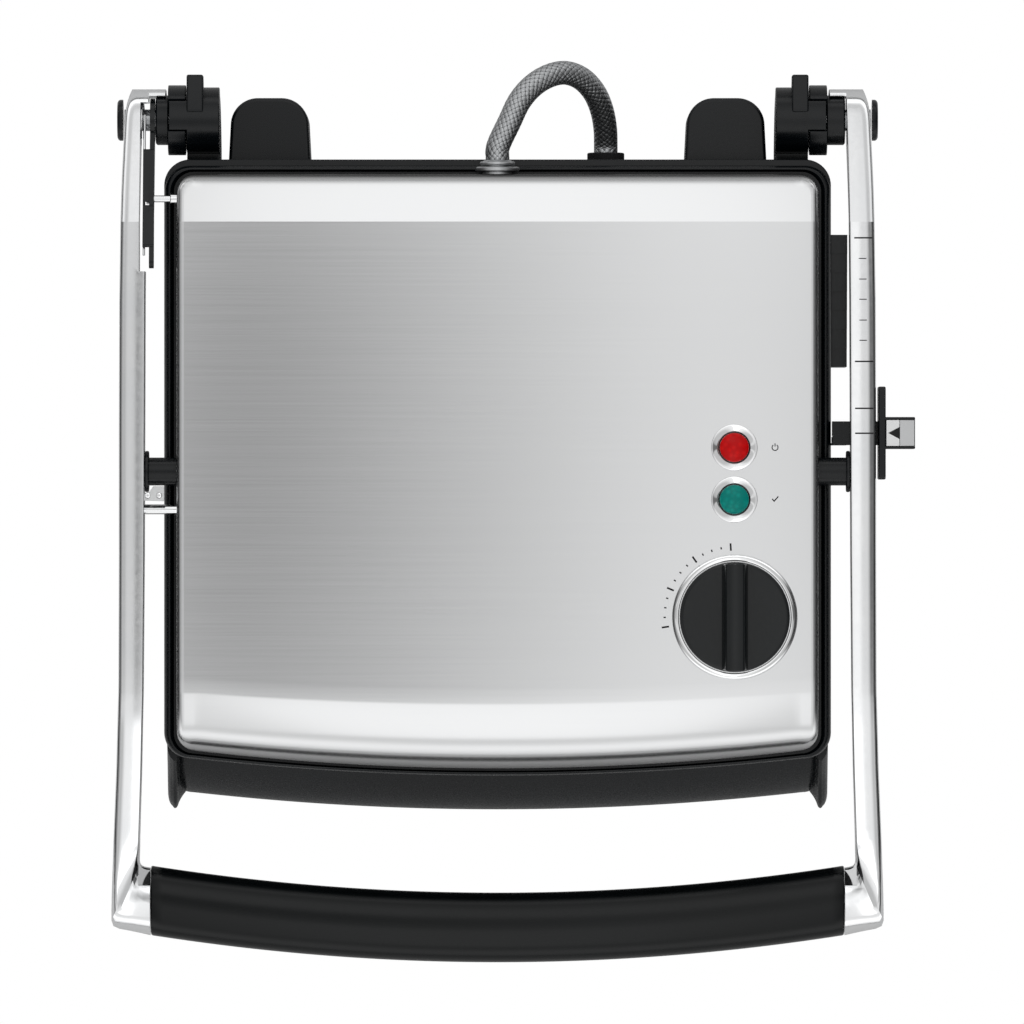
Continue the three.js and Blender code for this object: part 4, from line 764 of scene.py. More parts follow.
def cheek_ring(height, drawn):
    tip = CHEEK_TIP + drawn
    outer = HALF_WIDTH - BASE_INSET + CHEEK_SPREAD * (BASE_TOP - height) / (BASE_TOP - FOOT_HEIGHT)
    inner = outer - CHEEK_WIDTH
    nose = outer - CHEEK_WIDTH * NOSE_SHARE
    nose_outer = (nose + CHEEK_NOSE / 2, tip + NOSE_CROWN)
    nose_inner = (nose - CHEEK_NOSE / 2, tip + NOSE_CROWN)
    fillet = CHEEK_FILLET * max(1.0 - drawn / FILLET_END, 0.0) + FILLET_LEAST
    outer_start, outer_turn, inner_turn, inner_end = (tip + bend for bend in NOSE_BENDS)
    outline = [(inner, CHEEK_REAR), (outer, CHEEK_REAR)]
    outline += bent((outer, outer_start), (outer - NOSE_SLANT, outer_turn), nose_outer, 10)
    outline += bent(nose_outer, (nose, tip - NOSE_CROWN), nose_inner, 6)
    outline += bent(nose_inner, (inner, inner_turn), (inner - fillet, inner_end + fillet), 8)
    return [(x, y, height) for x, y in outline]


for right in (True, False):
    shape = sided(lofted([cheek_ring(*layer) for layer in CHEEK_LAYERS]), right)
    mesh(mirrored_name("base_cheek", right), *shape, "base", BLACK, smooth=CHEEK_SHADE, slot="black_plastic")

# Rear feet
REAR_FOOT_X = 105.8
REAR_FOOT_HALF = 19.0
REAR_FOOT_REAR = 10.9
REAR_FOOT_ROUND = 12.6
REAR_FOOT_TOP = 48.0
REAR_FOOT_BOTTOM = 8.0
REAR_FOOT_TAPER = 0.9
REAR_FOOT_EDGE = 1.6
WALL_PLACE = -REAR_REACH - BASE_INSET + 0.3


def rear_foot():
    straight = REAR_FOOT_REAR - REAR_FOOT_ROUND
    width = REAR_FOOT_HALF - REAR_FOOT_TAPER
    outline = [(REAR_FOOT_HALF, WALL_PLACE), (width, straight)]
    outline += circle(width - REAR_FOOT_ROUND, straight, REAR_FOOT_ROUND, 14, 0, 90)[1:]
    outline += circle(-width + REAR_FOOT_ROUND, straight, REAR_FOOT_ROUND, 14, 90, 180)[:-1]
    outline += [(-width, straight), (-REAR_FOOT_HALF, WALL_PLACE)]
    return up([(x + REAR_FOOT_X, y) for x, y in outline], REAR_FOOT_BOTTOM, REAR_FOOT_TOP)


for right in (True, False):
    name = mirrored_name("rear_tongue", right)
    shape = sided(rear_foot(), right)
    tongue = mesh(name, *shape, "base", BLACK, bevel=REAR_FOOT_EDGE, segments=4, slot="black_plastic")
    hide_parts(mirrored_name("rear_foot", right))

# Hinges: fixed barrel on its post, fin, tooth, and the collar that claws round the tooth
BARREL = 15.2
BARREL_INNER = 128.6
BARREL_OUTER = 143.7
BARREL_START = -36
BARREL_END = 190
POST_TOP = BASE_TOP + 1.7
POST_LOW = BASE_TOP - 40.0
POST_FOOT = 6.0
POST_BEND = ((9.0, HINGE_HEIGHT - 30.0), (12.0, HINGE_HEIGHT - 9.4))
POST_NECK = (-BARREL - 0.2, HINGE_HEIGHT - 3.4)
FIN = [(3.2, 8.0), (3.2, 15.2), (5.0, 15.2), (20.2, 13.6), (20.7, 12.8), (20.7, 4.3), (13.0, -4.0)]
FIN_SIDES = (135.9, 143.6)
TOOTH_SIDES = (BARREL_OUTER - 3.0, 151.6)
TOOTH_BORE = 6.0
TOOTH_START = 55.5
TOOTH_END = 108.5
CLAW_BORE = 5.7
CLAW_RADIUS = 16.2
CLAW_GAP = 2
CLAW_SIDES = (BARREL_OUTER + 0.4, TOOTH_SIDES[1] + 0.7)
COLLAR_RADIUS = 11.5
COLLAR_INNER = TOOTH_SIDES[1] + 0.4
COLLAR_OUTER = (158.0, 160.6)
COLLAR_EDGES = (0.6, 0.7)
PIN_BORE = 5.4
CAP_RADIUS = 9.5
CAP_EDGE = [(CAP_RADIUS, -1.4), (9.1, -0.7), (8.2, -0.2), (0, 0)]
BARREL_EDGE = 1.0
FIN_EDGE = 0.9
TOOTH_EDGE = 0.5
CLAW_EDGE = 0.8


def sector(inner, outer, start, end, steps=40):
    points = circle(0, HINGE_HEIGHT, outer, steps, start, end)
    return points + circle(0, HINGE_HEIGHT, inner, steps, start, end)[::-1]


def post_outline():
    foot = (WALL_PLACE + POST_FOOT, POST_LOW)
    outline = [(WALL_PLACE, POST_TOP), (WALL_PLACE, POST_LOW), foot]
    outline += bent(foot, *POST_BEND, 10)
    outline += circle(0, HINGE_HEIGHT, BARREL, 56, BARREL_START, BARREL_END)
    return outline + bent(outline[-1], POST_NECK, (WALL_PLACE, POST_TOP), 4)[:-1]


def hinge_part(name, shape, right, **look):
    return mesh(mirrored_name(name, right), *sided(shape, right), "base", BLACK, **look)


hinge_at = about_x(0, HINGE_HEIGHT)
cap_inner, cap_outer = (corner[0] for corner in from_hinge((cap_low, cap_high)))
for right in (True, False):
    shape = across(post_outline(), BARREL_INNER, BARREL_OUTER)
    barrel = hinge_part("hinge_barrel", shape, right, bevel=BARREL_EDGE, slot="black_plastic")
    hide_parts(mirrored_name("hinge_post", right))
    shape = across(raised(FIN, HINGE_HEIGHT), *FIN_SIDES)
    hinge_part("hinge_fin", shape, right, bevel=FIN_EDGE, slot="black_plastic")
    shape = across(sector(TOOTH_BORE, BARREL, TOOTH_START, TOOTH_END), *TOOTH_SIDES)
    hinge_part("hinge_tooth", shape, right, bevel=TOOTH_EDGE, slot="black_plastic")
    outer = COLLAR_OUTER[right]
    inner_edge, outer_edge = COLLAR_EDGES
    profile = [(PIN_BORE, COLLAR_INNER), (COLLAR_RADIUS - inner_edge, COLLAR_INNER)]
    profile += [(COLLAR_RADIUS, COLLAR_INNER + inner_edge), (COLLAR_RADIUS, outer - outer_edge)]
    profile += [(COLLAR_RADIUS - outer_edge, outer), (PIN_BORE, outer)]
    collar = hinge_part("hinge_sleeve", turned(profile, hinge_at), right, slot="gloss_black")
    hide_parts(mirrored_name("hinge_collar", right))
    claw = sector(CLAW_BORE, CLAW_RADIUS, TOOTH_END + CLAW_GAP, TOOTH_START - CLAW_GAP + 360, 80)
    hinge_part("hinge_claw", across(claw, *CLAW_SIDES), right, bevel=CLAW_EDGE, slot="gloss_black")
    profile = [(0, cap_inner), (CAP_RADIUS, cap_inner), *raised(CAP_EDGE, cap_outer)]
    shape = sided(turned(profile, hinge_at), right)
    cap = mesh(mirrored_name("pin_cap", right), *shape, "arms", BLACK, slot="gloss_black")
    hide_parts(mirrored_name("hinge_cap", right))

# Arms: inner and outer side as the photograph shows them, by reach
ARM_HUB = 14.3
ARM_INNER = 161.0
ARM_NECK = 46.0
NECK_TURN = 0.05
ARM_FLAT_FRONT = 264.0
ARM_BEND = 294.0
ARM_CREASE = 14.0
ARM_RADII = ((4.2, 2.4), (0.5, 0.5), (1.3, 1.1), (2.4, 2.0))
CORNER_MOST = 0.98
HUB_ROUND = 2.6
CAST_REACH = 358.0
CAST_WIDTH = 36.8
CAST_HEIGHT = 28.0
CAST_RISE = 1.6
GRIP_HALF = 160.0
GRIP_TOP = GRIP_HEIGHT + CAST_HEIGHT / 2
GRIP_LOW = GRIP_HEIGHT - CAST_HEIGHT / 2
SHOULDER = CAST_REACH - CAST_WIDTH / 4
SHOULDER_LOW = GRIP_LOW + 2.0
REACHES = [-14.3, 30.0, 84.0, 143.0, 200.0, 263.0, 300.0, 332.0]
INNER_SIDE = [161.05, 161.8, 162.2, 162.4, 162.6, 163.1, 164.0, 165.2]
OUTER_SIDE = [171.6, 173.1, 173.9, 174.1, 174.1, 174.3, 175.4, 176.9]
HUB_TURNS = (1.5, 5, 10, 16, 23, 31, 40, 50, 60, 70, 80, 90)
NECK_REACHES = [
    2.0, 4.5, 7.0, 10.0, 14.0, 20.0, 27.0, 34.0, 41.0, 44.0, ARM_NECK - NECK_TURN, ARM_NECK, CREASE_REAR,
]
FLAT_STATIONS = 24
FRONT_REACHES = [268, 272, 277, 282, 287, 292, 297, 302, 307, 312, 317, 322, 327, 332]
ELBOW_INNER = [
    (165.25, 335.0), (165.3, 337.5), (165.35, 339.5), (165.4, 341.2), (165.35, 342.6),
    (165.0, 343.8), (164.2, 344.6), (163.1, 345.0), (161.8, 345.3), (160.3, 345.5),
]
ELBOW_OUTER = [
    (177.2, 341.0), (177.6, 350.0), (177.9, 358.0), (178.1, 365.0), (178.15, 369.8),
    (177.3, 372.4), (174.6, 373.7), (170.0, 374.6), (165.0, 375.7), (160.3, 376.8),
]


def tangent(reach, rise, side):
    return math.atan2(rise, -reach) + side * math.acos(ARM_HUB / math.hypot(reach, rise))


def front_line(height, end_height):
    start = (ARM_FLAT_FRONT, height)
    return np.array([start] + bent(start, (ARM_BEND, height), (SHOULDER, end_height), 40))


def at_reach(reach, reaches, values):
    return float(np.interp(reach, reaches, values))


TOP_TURN = tangent(CREASE_REAR, ARM_TOP - HINGE_HEIGHT, -1)
LOW_TURN = tangent(ARM_NECK, ARM_BOTTOM - HINGE_HEIGHT, 1)
FRONT_TOP = front_line(ARM_TOP, GRIP_TOP)
FRONT_LOW = front_line(ARM_BOTTOM, SHOULDER_LOW)


def inner_at(reach):
    return at_reach(reach, REACHES, INNER_SIDE)


def outer_at(reach):
    return at_reach(reach, REACHES, OUTER_SIDE)


def hub_edge(reach, turn, corner_reach, corner_height, sign):
    """Height of the arm's upper or lower edge between the hub's rear and the end of the neck."""
    touch_reach = -ARM_HUB * math.cos(turn)
    touch_height = HINGE_HEIGHT + ARM_HUB * math.sin(turn)
    if reach <= touch_reach:
        return HINGE_HEIGHT + sign * math.sqrt(max(ARM_HUB**2 - reach**2, 0))
    share = (reach - touch_reach) / (corner_reach - touch_reach)
    return touch_height + share * (corner_height - touch_height)


def arm_top(reach):
    if reach < CREASE_REAR:
        return hub_edge(reach, TOP_TURN, CREASE_REAR, ARM_TOP, 1)
    return at_reach(reach, FRONT_TOP[:, 0], FRONT_TOP[:, 1])


def arm_low(reach):
    if reach < ARM_NECK:
        return hub_edge(reach, LOW_TURN, ARM_NECK, ARM_BOTTOM, -1)
    return at_reach(reach, FRONT_LOW[:, 0], FRONT_LOW[:, 1])


def arm_section(inner, outer, low, top, radii, steps=7):
    """A closed section between two points of the plan, with an elliptic corner of its own at each edge."""
    run = (outer[0] - inner[0], outer[1] - inner[1])
    width = math.hypot(*run)
    points = []
    corners = ((width, top, -1, -1), (0, top, 1, -1), (0, low, 1, 1), (width, low, -1, 1))
    for quarter, ((along, level, inward, upward), (wide, high)) in enumerate(zip(corners, radii)):
        wide = min(wide, width / 2)
        high = min(high, (top - low) / 2 * CORNER_MOST)
        for i in range(steps + 1):
            turn = math.radians(90 * quarter + 90 * i / steps)
            share = (along + inward * wide + wide * math.cos(turn)) / width
            height = level + upward * high + high * math.sin(turn)
            points.append((inner[0] + run[0] * share, -(inner[1] + run[1] * share), height))
    return points


def arm_shape():
    reaches = [-ARM_HUB * math.cos(math.radians(turn)) for turn in HUB_TURNS] + NECK_REACHES
    run = ARM_FLAT_FRONT - CREASE_REAR
    reaches += [CREASE_REAR + run * i / FLAT_STATIONS for i in range(1, FLAT_STATIONS + 1)] + FRONT_REACHES
    sections = []
    for reach in reaches:
        outer = outer_at(reach) - HUB_ROUND * max(0.0, -reach / ARM_HUB) ** 2
        low, top = arm_low(reach), arm_top(reach)
        sections.append(arm_section((inner_at(reach), reach), (outer, reach), low, top, ARM_RADII))
    start_top, start_low = top, low
    for i, (inner, outer) in enumerate(zip(ELBOW_INNER, ELBOW_OUTER)):
        share = (i + 1) / len(ELBOW_INNER)
        eased = share * share * (3 - 2 * share)
        top = start_top + (GRIP_TOP - start_top) * min(1.0, CAST_RISE * share)
        low = start_low + (GRIP_LOW - start_low) * share
        half_width = math.hypot(outer[0] - inner[0], outer[1] - inner[1]) / 2
        half_height = (top - low) / 2
        radii = []
        for wide, high in ARM_RADII:
            radii.append((wide + (half_width - wide) * eased, high + (half_height - high) * eased))
        sections.append(arm_section(inner, outer, low, top, radii))
    return lofted(sections)


# What is cut out of the arms: pivot bore, the grip's pocket, and the link's room in the left arm
PIVOT_REACH = 162.6
PIVOT_BORE = 4.3
PIVOT_DEPTH = 170.3
CUT_START = 150.0
POCKET = [(GRIP_HALF - 4.0, 3.0), (GRIP_HALF + 5.6, 7.4), (GRIP_HALF + 5.6, 26.0), (GRIP_HALF - 4.0, 26.0)]
POCKET_REACH = (-353.5, -343.0)
RECESS_RADIUS = 8.4
RECESS_DEPTH = ARM_INNER + 3.6
RECESS_LINE = ((0, 0), (-40.0, 23.5), (-62.0, 28.0))
SPRING_ROOM = 12.2
SPRING_DEPTH = ARM_INNER + 6.4
LINK_NOTCH = ARM_INNER + 3.9
NOTCH_REACH = (-70.6, 8.0)
NOTCH_HEIGHTS = (HINGE_HEIGHT - 18.0, ARM_TOP + 5.0)
LIP_WIDTH = 2.0
LIP_TURN = (-35, 30)
LIP_SIDES = (153.2, ARM_INNER + 1.0)
LIP_EDGE = 0.5
for right in (True, False):
    arm = mesh(mirrored_name("cast_arm", right), *sided(arm_shape(), right), None, ALLOY)
    cuts = [across(circle(-PIVOT_REACH, PIVOT_HEIGHT, PIVOT_BORE), CUT_START, PIVOT_DEPTH)]
    cuts.append(back(raised(POCKET, GRIP_HEIGHT), *POCKET_REACH))
    if not right:
        for start, end in zip(RECESS_LINE, RECESS_LINE[1:]):
            ends = (start[0], HINGE_HEIGHT + start[1], end[0], HINGE_HEIGHT + end[1])
            cuts.append(across(stadium(*ends, RECESS_RADIUS), CUT_START, RECESS_DEPTH))
        cuts.append(across(circle(0, HINGE_HEIGHT, SPRING_ROOM), CUT_START, SPRING_DEPTH))
        cuts.append(box(CUT_START, LINK_NOTCH, *NOTCH_REACH, *NOTCH_HEIGHTS))
    combined(arm, "DIFFERENCE", [sided(cut, right) for cut in cuts])
    smoothed(arm, ARM_CREASE)
    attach(arm, "arms")
    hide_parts(mirrored_name("arm", right))
    lip = sided(across(sector(ARM_HUB - LIP_WIDTH, ARM_HUB, *LIP_TURN, 24), *LIP_SIDES), right)
    mesh(mirrored_name("hub_lip", right), *lip, "arms", ALLOY, bevel=LIP_EDGE, slot="polished_alloy")

# Stop plate with two screws, inside the left arm beside its pivot
PLATE_LOW = 95.0
PLATE_TOP = PLATE_LOW + 1.6
PLATE_EDGE = 0.3
PLATE = [(162.9, -176.0), (153.4, -176.3), (153.4, -169.4), (158.4, -169.4), (160.5, -172.3), (162.9, -172.6)]
SCREW_X = (161.0, 155.8)
SCREW_REACH = 173.6
SCREW = [(0, -0.3), (1.4, -0.3), (1.4, 0.3), (1.15, 0.6), (0.7, 0.72), (0, 0.75)]
plate = flipped(up(PLATE, PLATE_LOW, PLATE_TOP))
mesh("stop_plate", *plate, "arms", BADGE, bevel=PLATE_EDGE, slot="chrome")
for number, screw_x in enumerate(SCREW_X):
    screw = turned(raised(SCREW, PLATE_TOP), about_z(screw_x, -SCREW_REACH), 32)
    mesh(f"stop_plate_screw_{number + 1}", *flipped(screw), "arms", CHROME, slot="chrome")

# Grip: an oval bar along a shallow bow; its ends are drawn in a little
GRIP_FRONT = 360.7
GRIP_BOW = 12.5
GRIP_A = 16.1
GRIP_B = 12.0
GRIP_ENDS = [(0, 0.7), (0.15, 0.25), (0.7, 0)]
GRIP_STATIONS = 64
GRIP_SIDES = 72
ROUND_SHADE = 50.0


def grip_ring(x, drawn):
    share = x / GRIP_HALF
    centre = -GRIP_FRONT - GRIP_BOW + GRIP_BOW * share * share
    turns = [2 * math.pi * i / GRIP_SIDES for i in range(GRIP_SIDES)]
    wide, high = GRIP_A - drawn, GRIP_B - drawn
    return [(x, centre + wide * math.cos(turn), GRIP_HEIGHT + high * math.sin(turn)) for turn in turns]


inner_half = GRIP_HALF - GRIP_ENDS[-1][0]
stations = [(-GRIP_HALF + step, drawn) for step, drawn in GRIP_ENDS]
stations += [(-inner_half + 2 * inner_half * i / GRIP_STATIONS, 0) for i in range(1, GRIP_STATIONS)]
stations += [(GRIP_HALF - step, drawn) for step, drawn in reversed(GRIP_ENDS)]
grip_shape = lofted([grip_ring(*station) for station in stations])
grip = mesh("soft_grip", *grip_shape, "arms", SOFT_BLACK, smooth=ROUND_SHADE, slot="black_plastic")
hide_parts("grip")

# Lamps: profiles over the cover
RING_SHADE = 60.0
LENS_SHADE = 40.0
LAMP_X = 108.8
LAMP_REACH = 151.6
LAMP_PITCH = 23.9
LAMP_RING = [
    (7.5, 0.02), (10.6, 0.02), (10.6, 1.8), (10.45, 2.0), (10.2, 2.0), (9.2, 1.65), (8.2, 1.2), (7.5, 0.8),
]
LENS = [
    (0, -5.9), (5.6, -5.9), (5.6, 0.3), (6.7, 0.3), (6.7, 1.1), (6.4, 1.5),
    (5.8, 1.9), (4.8, 2.3), (3.2, 2.6), (1.6, 2.75), (0, 2.8),
]
LENS_SEAT = [(6.74, 0.05), (7.46, 0.05), (7.46, 0.7), (6.74, 0.9)]
LAMPS = [("power", LAMP_REACH, RED, "red_lens"), ("ready", LAMP_REACH + LAMP_PITCH, GREEN, "green_lens")]
for label, reach, material, slot in LAMPS:
    place = about_z(LAMP_X, -reach)
    shape = turned(raised(LAMP_RING, COVER_TOP), place)
    bezel = mesh(f"lamp_ring_{label}", *shape, "lid", CHROME, smooth=RING_SHADE, slot="chrome")
    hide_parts(f"lamp_bezel_{label}")
    shape = turned(raised(LENS, COVER_TOP), place)
    lens = mesh(f"lens_{label}", *shape, "lid", material, smooth=LENS_SHADE, slot=slot)
    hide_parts(f"lamp_lens_{label}")
    seat = turned(raised(LENS_SEAT, COVER_TOP), place)
    mesh(f"lens_seat_{label}", *seat, "lid", GLOSS_BLACK, slot="gloss_black")

# Dial
DIAL_X = 109.0
DIAL_REACH = 229.5
DIAL_RING_SIDES = 160
DIAL_KNOB_SIDES = 128
DIAL_RING = [
    (25.75, 0.02), (28.8, 0.02), (28.8, 0.5), (28.2, 1.1), (27.2, 1.75), (26.6, 1.95), (25.9, 2.0),
    (25.75, 1.8),
]
KNOB_DISC = [
    (0, 0), (25.0, 0), (25.3, 0.3), (25.3, 2.4), (25.1, 2.9), (24.6, 3.2), (23.4, 3.2), (14.0, 2.9), (0, 2.8),
]
KNOB_BOTTOM = COVER_TOP + 0.8
KNOB_HEIGHT = 16.9
KNOB_TOP = KNOB_BOTTOM + KNOB_HEIGHT
RIDGE_BASE = 6.0
RIDGE_TOP = 4.35
RIDGE_FEET = (2.0, 3.6)
RIDGE_ROUND = 1.0
RIDGE_SLANT = 0.15
RIDGE_STEEP = 1.1
RIDGE_RADIUS = 25.0
RIDGE_GAP = 0.1
RIDGE_STATIONS = 25
RIDGE_EDGE = 0.6
MARK_SIDES = (DIAL_X - 0.35, DIAL_X + 0.35)
MARK_REACH = (-DIAL_REACH + 19.0, -DIAL_REACH + 24.2)
MARK_HEIGHTS = (KNOB_TOP - 0.2, KNOB_TOP - 0.02)
dial_at = about_z(DIAL_X, -DIAL_REACH)
ring = turned(raised(DIAL_RING, COVER_TOP), dial_at, DIAL_RING_SIDES)
ring = mesh("dial_ring", *ring, "lid", CHROME, smooth=RING_SHADE, slot="chrome")
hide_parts("dial_bezel")
knob = turned(raised(KNOB_DISC, KNOB_BOTTOM), dial_at, DIAL_KNOB_SIDES)
knob = mesh("knob_disc", *knob, "dial", GLOSS_BLACK, slot="gloss_black")
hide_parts("dial_knob")


def knob_ridge():
    """A ridge across the knob, as rings along its length whose ends follow the knob's edge."""
    profile = [(-RIDGE_BASE, height) for height in RIDGE_FEET]
    profile.append((-RIDGE_TOP - RIDGE_SLANT, KNOB_HEIGHT - RIDGE_STEEP))
    for turn in (30, 60, 90):
        side = RIDGE_ROUND * (1 - math.cos(math.radians(turn)))
        rise = RIDGE_ROUND * (math.sin(math.radians(turn)) - 1)
        profile.append((-RIDGE_TOP + side, KNOB_HEIGHT + rise))
    profile += [(-a, b) for a, b in reversed(profile)]
    rings = []
    for k in range(RIDGE_STATIONS):
        share = 2 * k / (RIDGE_STATIONS - 1) - 1
        lengths = [math.sqrt(RIDGE_RADIUS**2 - a * a) - RIDGE_GAP for a, b in profile]
        places = [(a, share * length, KNOB_BOTTOM + b) for (a, b), length in zip(profile, lengths)]
        rings.append([dial_at(*place) for place in places])
    return lofted(rings)


ridge = knob_ridge()
mesh("knob_ridge", *ridge, "dial", GLOSS_BLACK, smooth=LENS_SHADE, bevel=RIDGE_EDGE, slot="gloss_black")
mesh("knob_mark", *box(*MARK_SIDES, *MARK_REACH, *MARK_HEIGHTS), "dial", PLAIN_STEEL, slot="plain_steel")

# Printed ticks round the dial: half length and half width of the long and the short ones
TICK_RADIUS = 32.2
TICK_COUNT = 13
TICK_FIRST = 93.3
TICK_LAST = 188.2
TICK_LONG = (1.7, 0.42)
TICK_SHORT = (0.55, 0.32)
LONG_EVERY = 4
PRINT_LOW = -0.02
PRINT_HIGH = 0.06
on_cover = (COVER_TOP + PRINT_LOW, COVER_TOP + PRINT_HIGH)
ticks = []
for i in range(TICK_COUNT):
    turn = math.radians(TICK_FIRST + (TICK_LAST - TICK_FIRST) * i / (TICK_COUNT - 1))
    length, width = TICK_SHORT if i % LONG_EVERY else TICK_LONG
    c, s = math.cos(turn), math.sin(turn)
    corners = [(-length, -width), (length, -width), (length, width), (-length, width)]
    corners = [(TICK_RADIUS + along, wide) for along, wide in corners]
    ticks.append(up([(DIAL_X + a * c - b * s, -DIAL_REACH + a * s + b * c) for a, b in corners], *on_cover))
mesh("dial_ticks", *added(*ticks), "lid", PRINT)

# Plain marks beside the lamps: a ring with a bar, and a tick
MARK_X = 127.5
MARK_RADII = (1.6, 1.15)
MARK_TURN = (125, 415)
MARK_STEPS = 24
BAR_SIDES = (MARK_X - 0.22, MARK_X + 0.22)
BAR_REACH = (-LAMP_REACH + 0.4, -LAMP_REACH + 1.9)
TICK_SHAPE = [(-1.5, 0.1), (-0.4, -1.2), (1.7, 1.2), (1.3, 1.6), (-0.4, -0.35), (-1.15, 0.5)]
outer, inner = (circle(MARK_X, -LAMP_REACH, radius, MARK_STEPS, *MARK_TURN) for radius in MARK_RADII)
power_mark = added(up(outer + inner[::-1], *on_cover), box(*BAR_SIDES, *BAR_REACH, *on_cover))
mesh("mark_power", *power_mark, "lid", PRINT)
tick_mark = [(MARK_X + x, y - LAMP_REACH - LAMP_PITCH) for x, y in TICK_SHAPE]
mesh("mark_ready", *up(tick_mark, *on_cover), "lid", PRINT)

# Gland on the lid and boot on the base
GLAND_Z = 90.9
GLAND_DISC = [
    (0, -26.7), (6.9, -26.7), (6.9, -24.6), (9.4, -24.5), (10.0, -24.1), (10.2, -23.4), (10.0, -22.7),
    (9.4, -22.3), (0, -22.2),
]
GLAND_COLLAR = [
    (0, -22.1), (5.9, -22.1), (5.9, -21.7), (7.5, -21.6), (8.0, -21.3), (8.2, -20.7), (8.0, -20.1),
    (7.5, -19.8), (6.6, -19.6), (6.2, -19.2), (0, -19.2),
]
BOOT_X = 50.2
BOOT_Z = 44.7
BOOT = [
    (0, -19.1), (8.5, -19.1), (8.6, -18.8), (8.6, -15.0), (8.3, -14.6), (7.6, -14.45), (6.2, -14.4),
    (0, -14.38),
]
gland_at = about_y(0, GLAND_Z)
flange = mesh("gland_disc", *turned(GLAND_DISC, gland_at), "lid", PLAIN_STEEL, slot="chrome")
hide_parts("gland_flange")
nut = mesh("gland_collar", *turned(GLAND_COLLAR, gland_at), "lid", PLAIN_STEEL, slot="chrome")
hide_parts("gland_nut")
boot = mesh("lead_boot", *turned(BOOT, about_y(BOOT_X, BOOT_Z)), "base", RUBBER, slot="rubber")
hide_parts("conduit_boot")

# Braided lead: the same route as in the solids, from inside the gland's nut to the boot
LOOP = 39.38
SPAN_SHARES = [0, 0, 0.11, 0.206, 0.329, 0.475, 0.62, 0.766, 0.885, 0.962, 0.995, 1, 1]
LOOP_SHARES = [0, 0.1, 0.415, 0.665, 0.845, 0.96, 1, 0.94, 0.785, 0.56, 0.32, 0.12, 0]
DROP_SHARES = [0, 0, 0.02, 0.06, 0.12, 0.2, 0.3, 0.43, 0.58, 0.76, 0.91, 1, 1]
LEAD_RADIUS = 5.5
LEAD_START = -17.8
LEAD_HOLD = 2.4
LEAD_END = -15.4
LEAD_RINGS = 360
LEAD_SIDES = 96
LEAD_APEX = 0.46
LEAD_SHADE = 60.0
BRAID_DEPTH = 0.14
BRAID_PITCH = 2 * math.pi * LEAD_RADIUS


def lead_points():
    points = []
    for span, loop, drop in zip(SPAN_SHARES, LOOP_SHARES, DROP_SHARES):
        middle = LEAD_START + (LEAD_END - LEAD_START) * drop
        reach = middle + loop * (LOOP - middle + LEAD_START)
        points.append(np.array([span * BOOT_X, reach, GLAND_Z + (BOOT_Z - GLAND_Z) * drop]))
    return points


def centripetal(points, per_span=40):
    """A centripetal Catmull-Rom line through the points, as the solids' curve is."""
    padded = [2 * points[0] - points[1], *points, 2 * points[-1] - points[-2]]
    line = []
    for i in range(1, len(padded) - 2):
        p0, p1, p2, p3 = padded[i - 1 : i + 3]
        t0 = 0.0
        t1 = t0 + np.linalg.norm(p1 - p0) ** 0.5
        t2 = t1 + np.linalg.norm(p2 - p1) ** 0.5
        t3 = t2 + np.linalg.norm(p3 - p2) ** 0.5
        for k in range(per_span):
            t = t1 + (t2 - t1) * k / per_span
            a1 = (t1 - t) / (t1 - t0) * p0 + (t - t0) / (t1 - t0) * p1
            a2 = (t2 - t) / (t2 - t1) * p1 + (t - t1) / (t2 - t1) * p2
            a3 = (t3 - t) / (t3 - t2) * p2 + (t - t2) / (t3 - t2) * p3
            b1 = (t2 - t) / (t2 - t0) * a1 + (t - t0) / (t2 - t0) * a2
            b2 = (t3 - t) / (t3 - t1) * a2 + (t - t1) / (t3 - t1) * a3
            line.append((t2 - t) / (t2 - t1) * b1 + (t - t1) / (t2 - t1) * b2)
    return np.array([*line, points[-1]])


def even(line, count):
    """The same line with evenly spaced points, and its length."""
    steps = np.linalg.norm(np.diff(line, axis=0), axis=1)
    along = np.concatenate([[0], np.cumsum(steps)])
    wanted = np.linspace(0, along[-1], count)
    return np.stack([np.interp(wanted, along, line[:, i]) for i in range(3)], axis=1), along[-1]


held_point = (0, LEAD_START - LEAD_HOLD, GLAND_Z)
line, lead_length = even(np.vstack([held_point, centripetal(lead_points())]), LEAD_RINGS)
print("lead between base and lid:", round(float(lead_length), 1), "mm")


def lead_frames():
    """Two directions across the lead at each ring, without twist."""
    tangents = np.gradient(line, axis=0)
    tangents /= np.linalg.norm(tangents, axis=1)[:, None]
    normal = np.cross(tangents[0], [0, 0, 1.0])
    frames = []
    for heading in tangents:
        normal = normal - heading * (normal @ heading)
        normal /= np.linalg.norm(normal)
        frames.append((normal, np.cross(heading, normal)))
    return frames


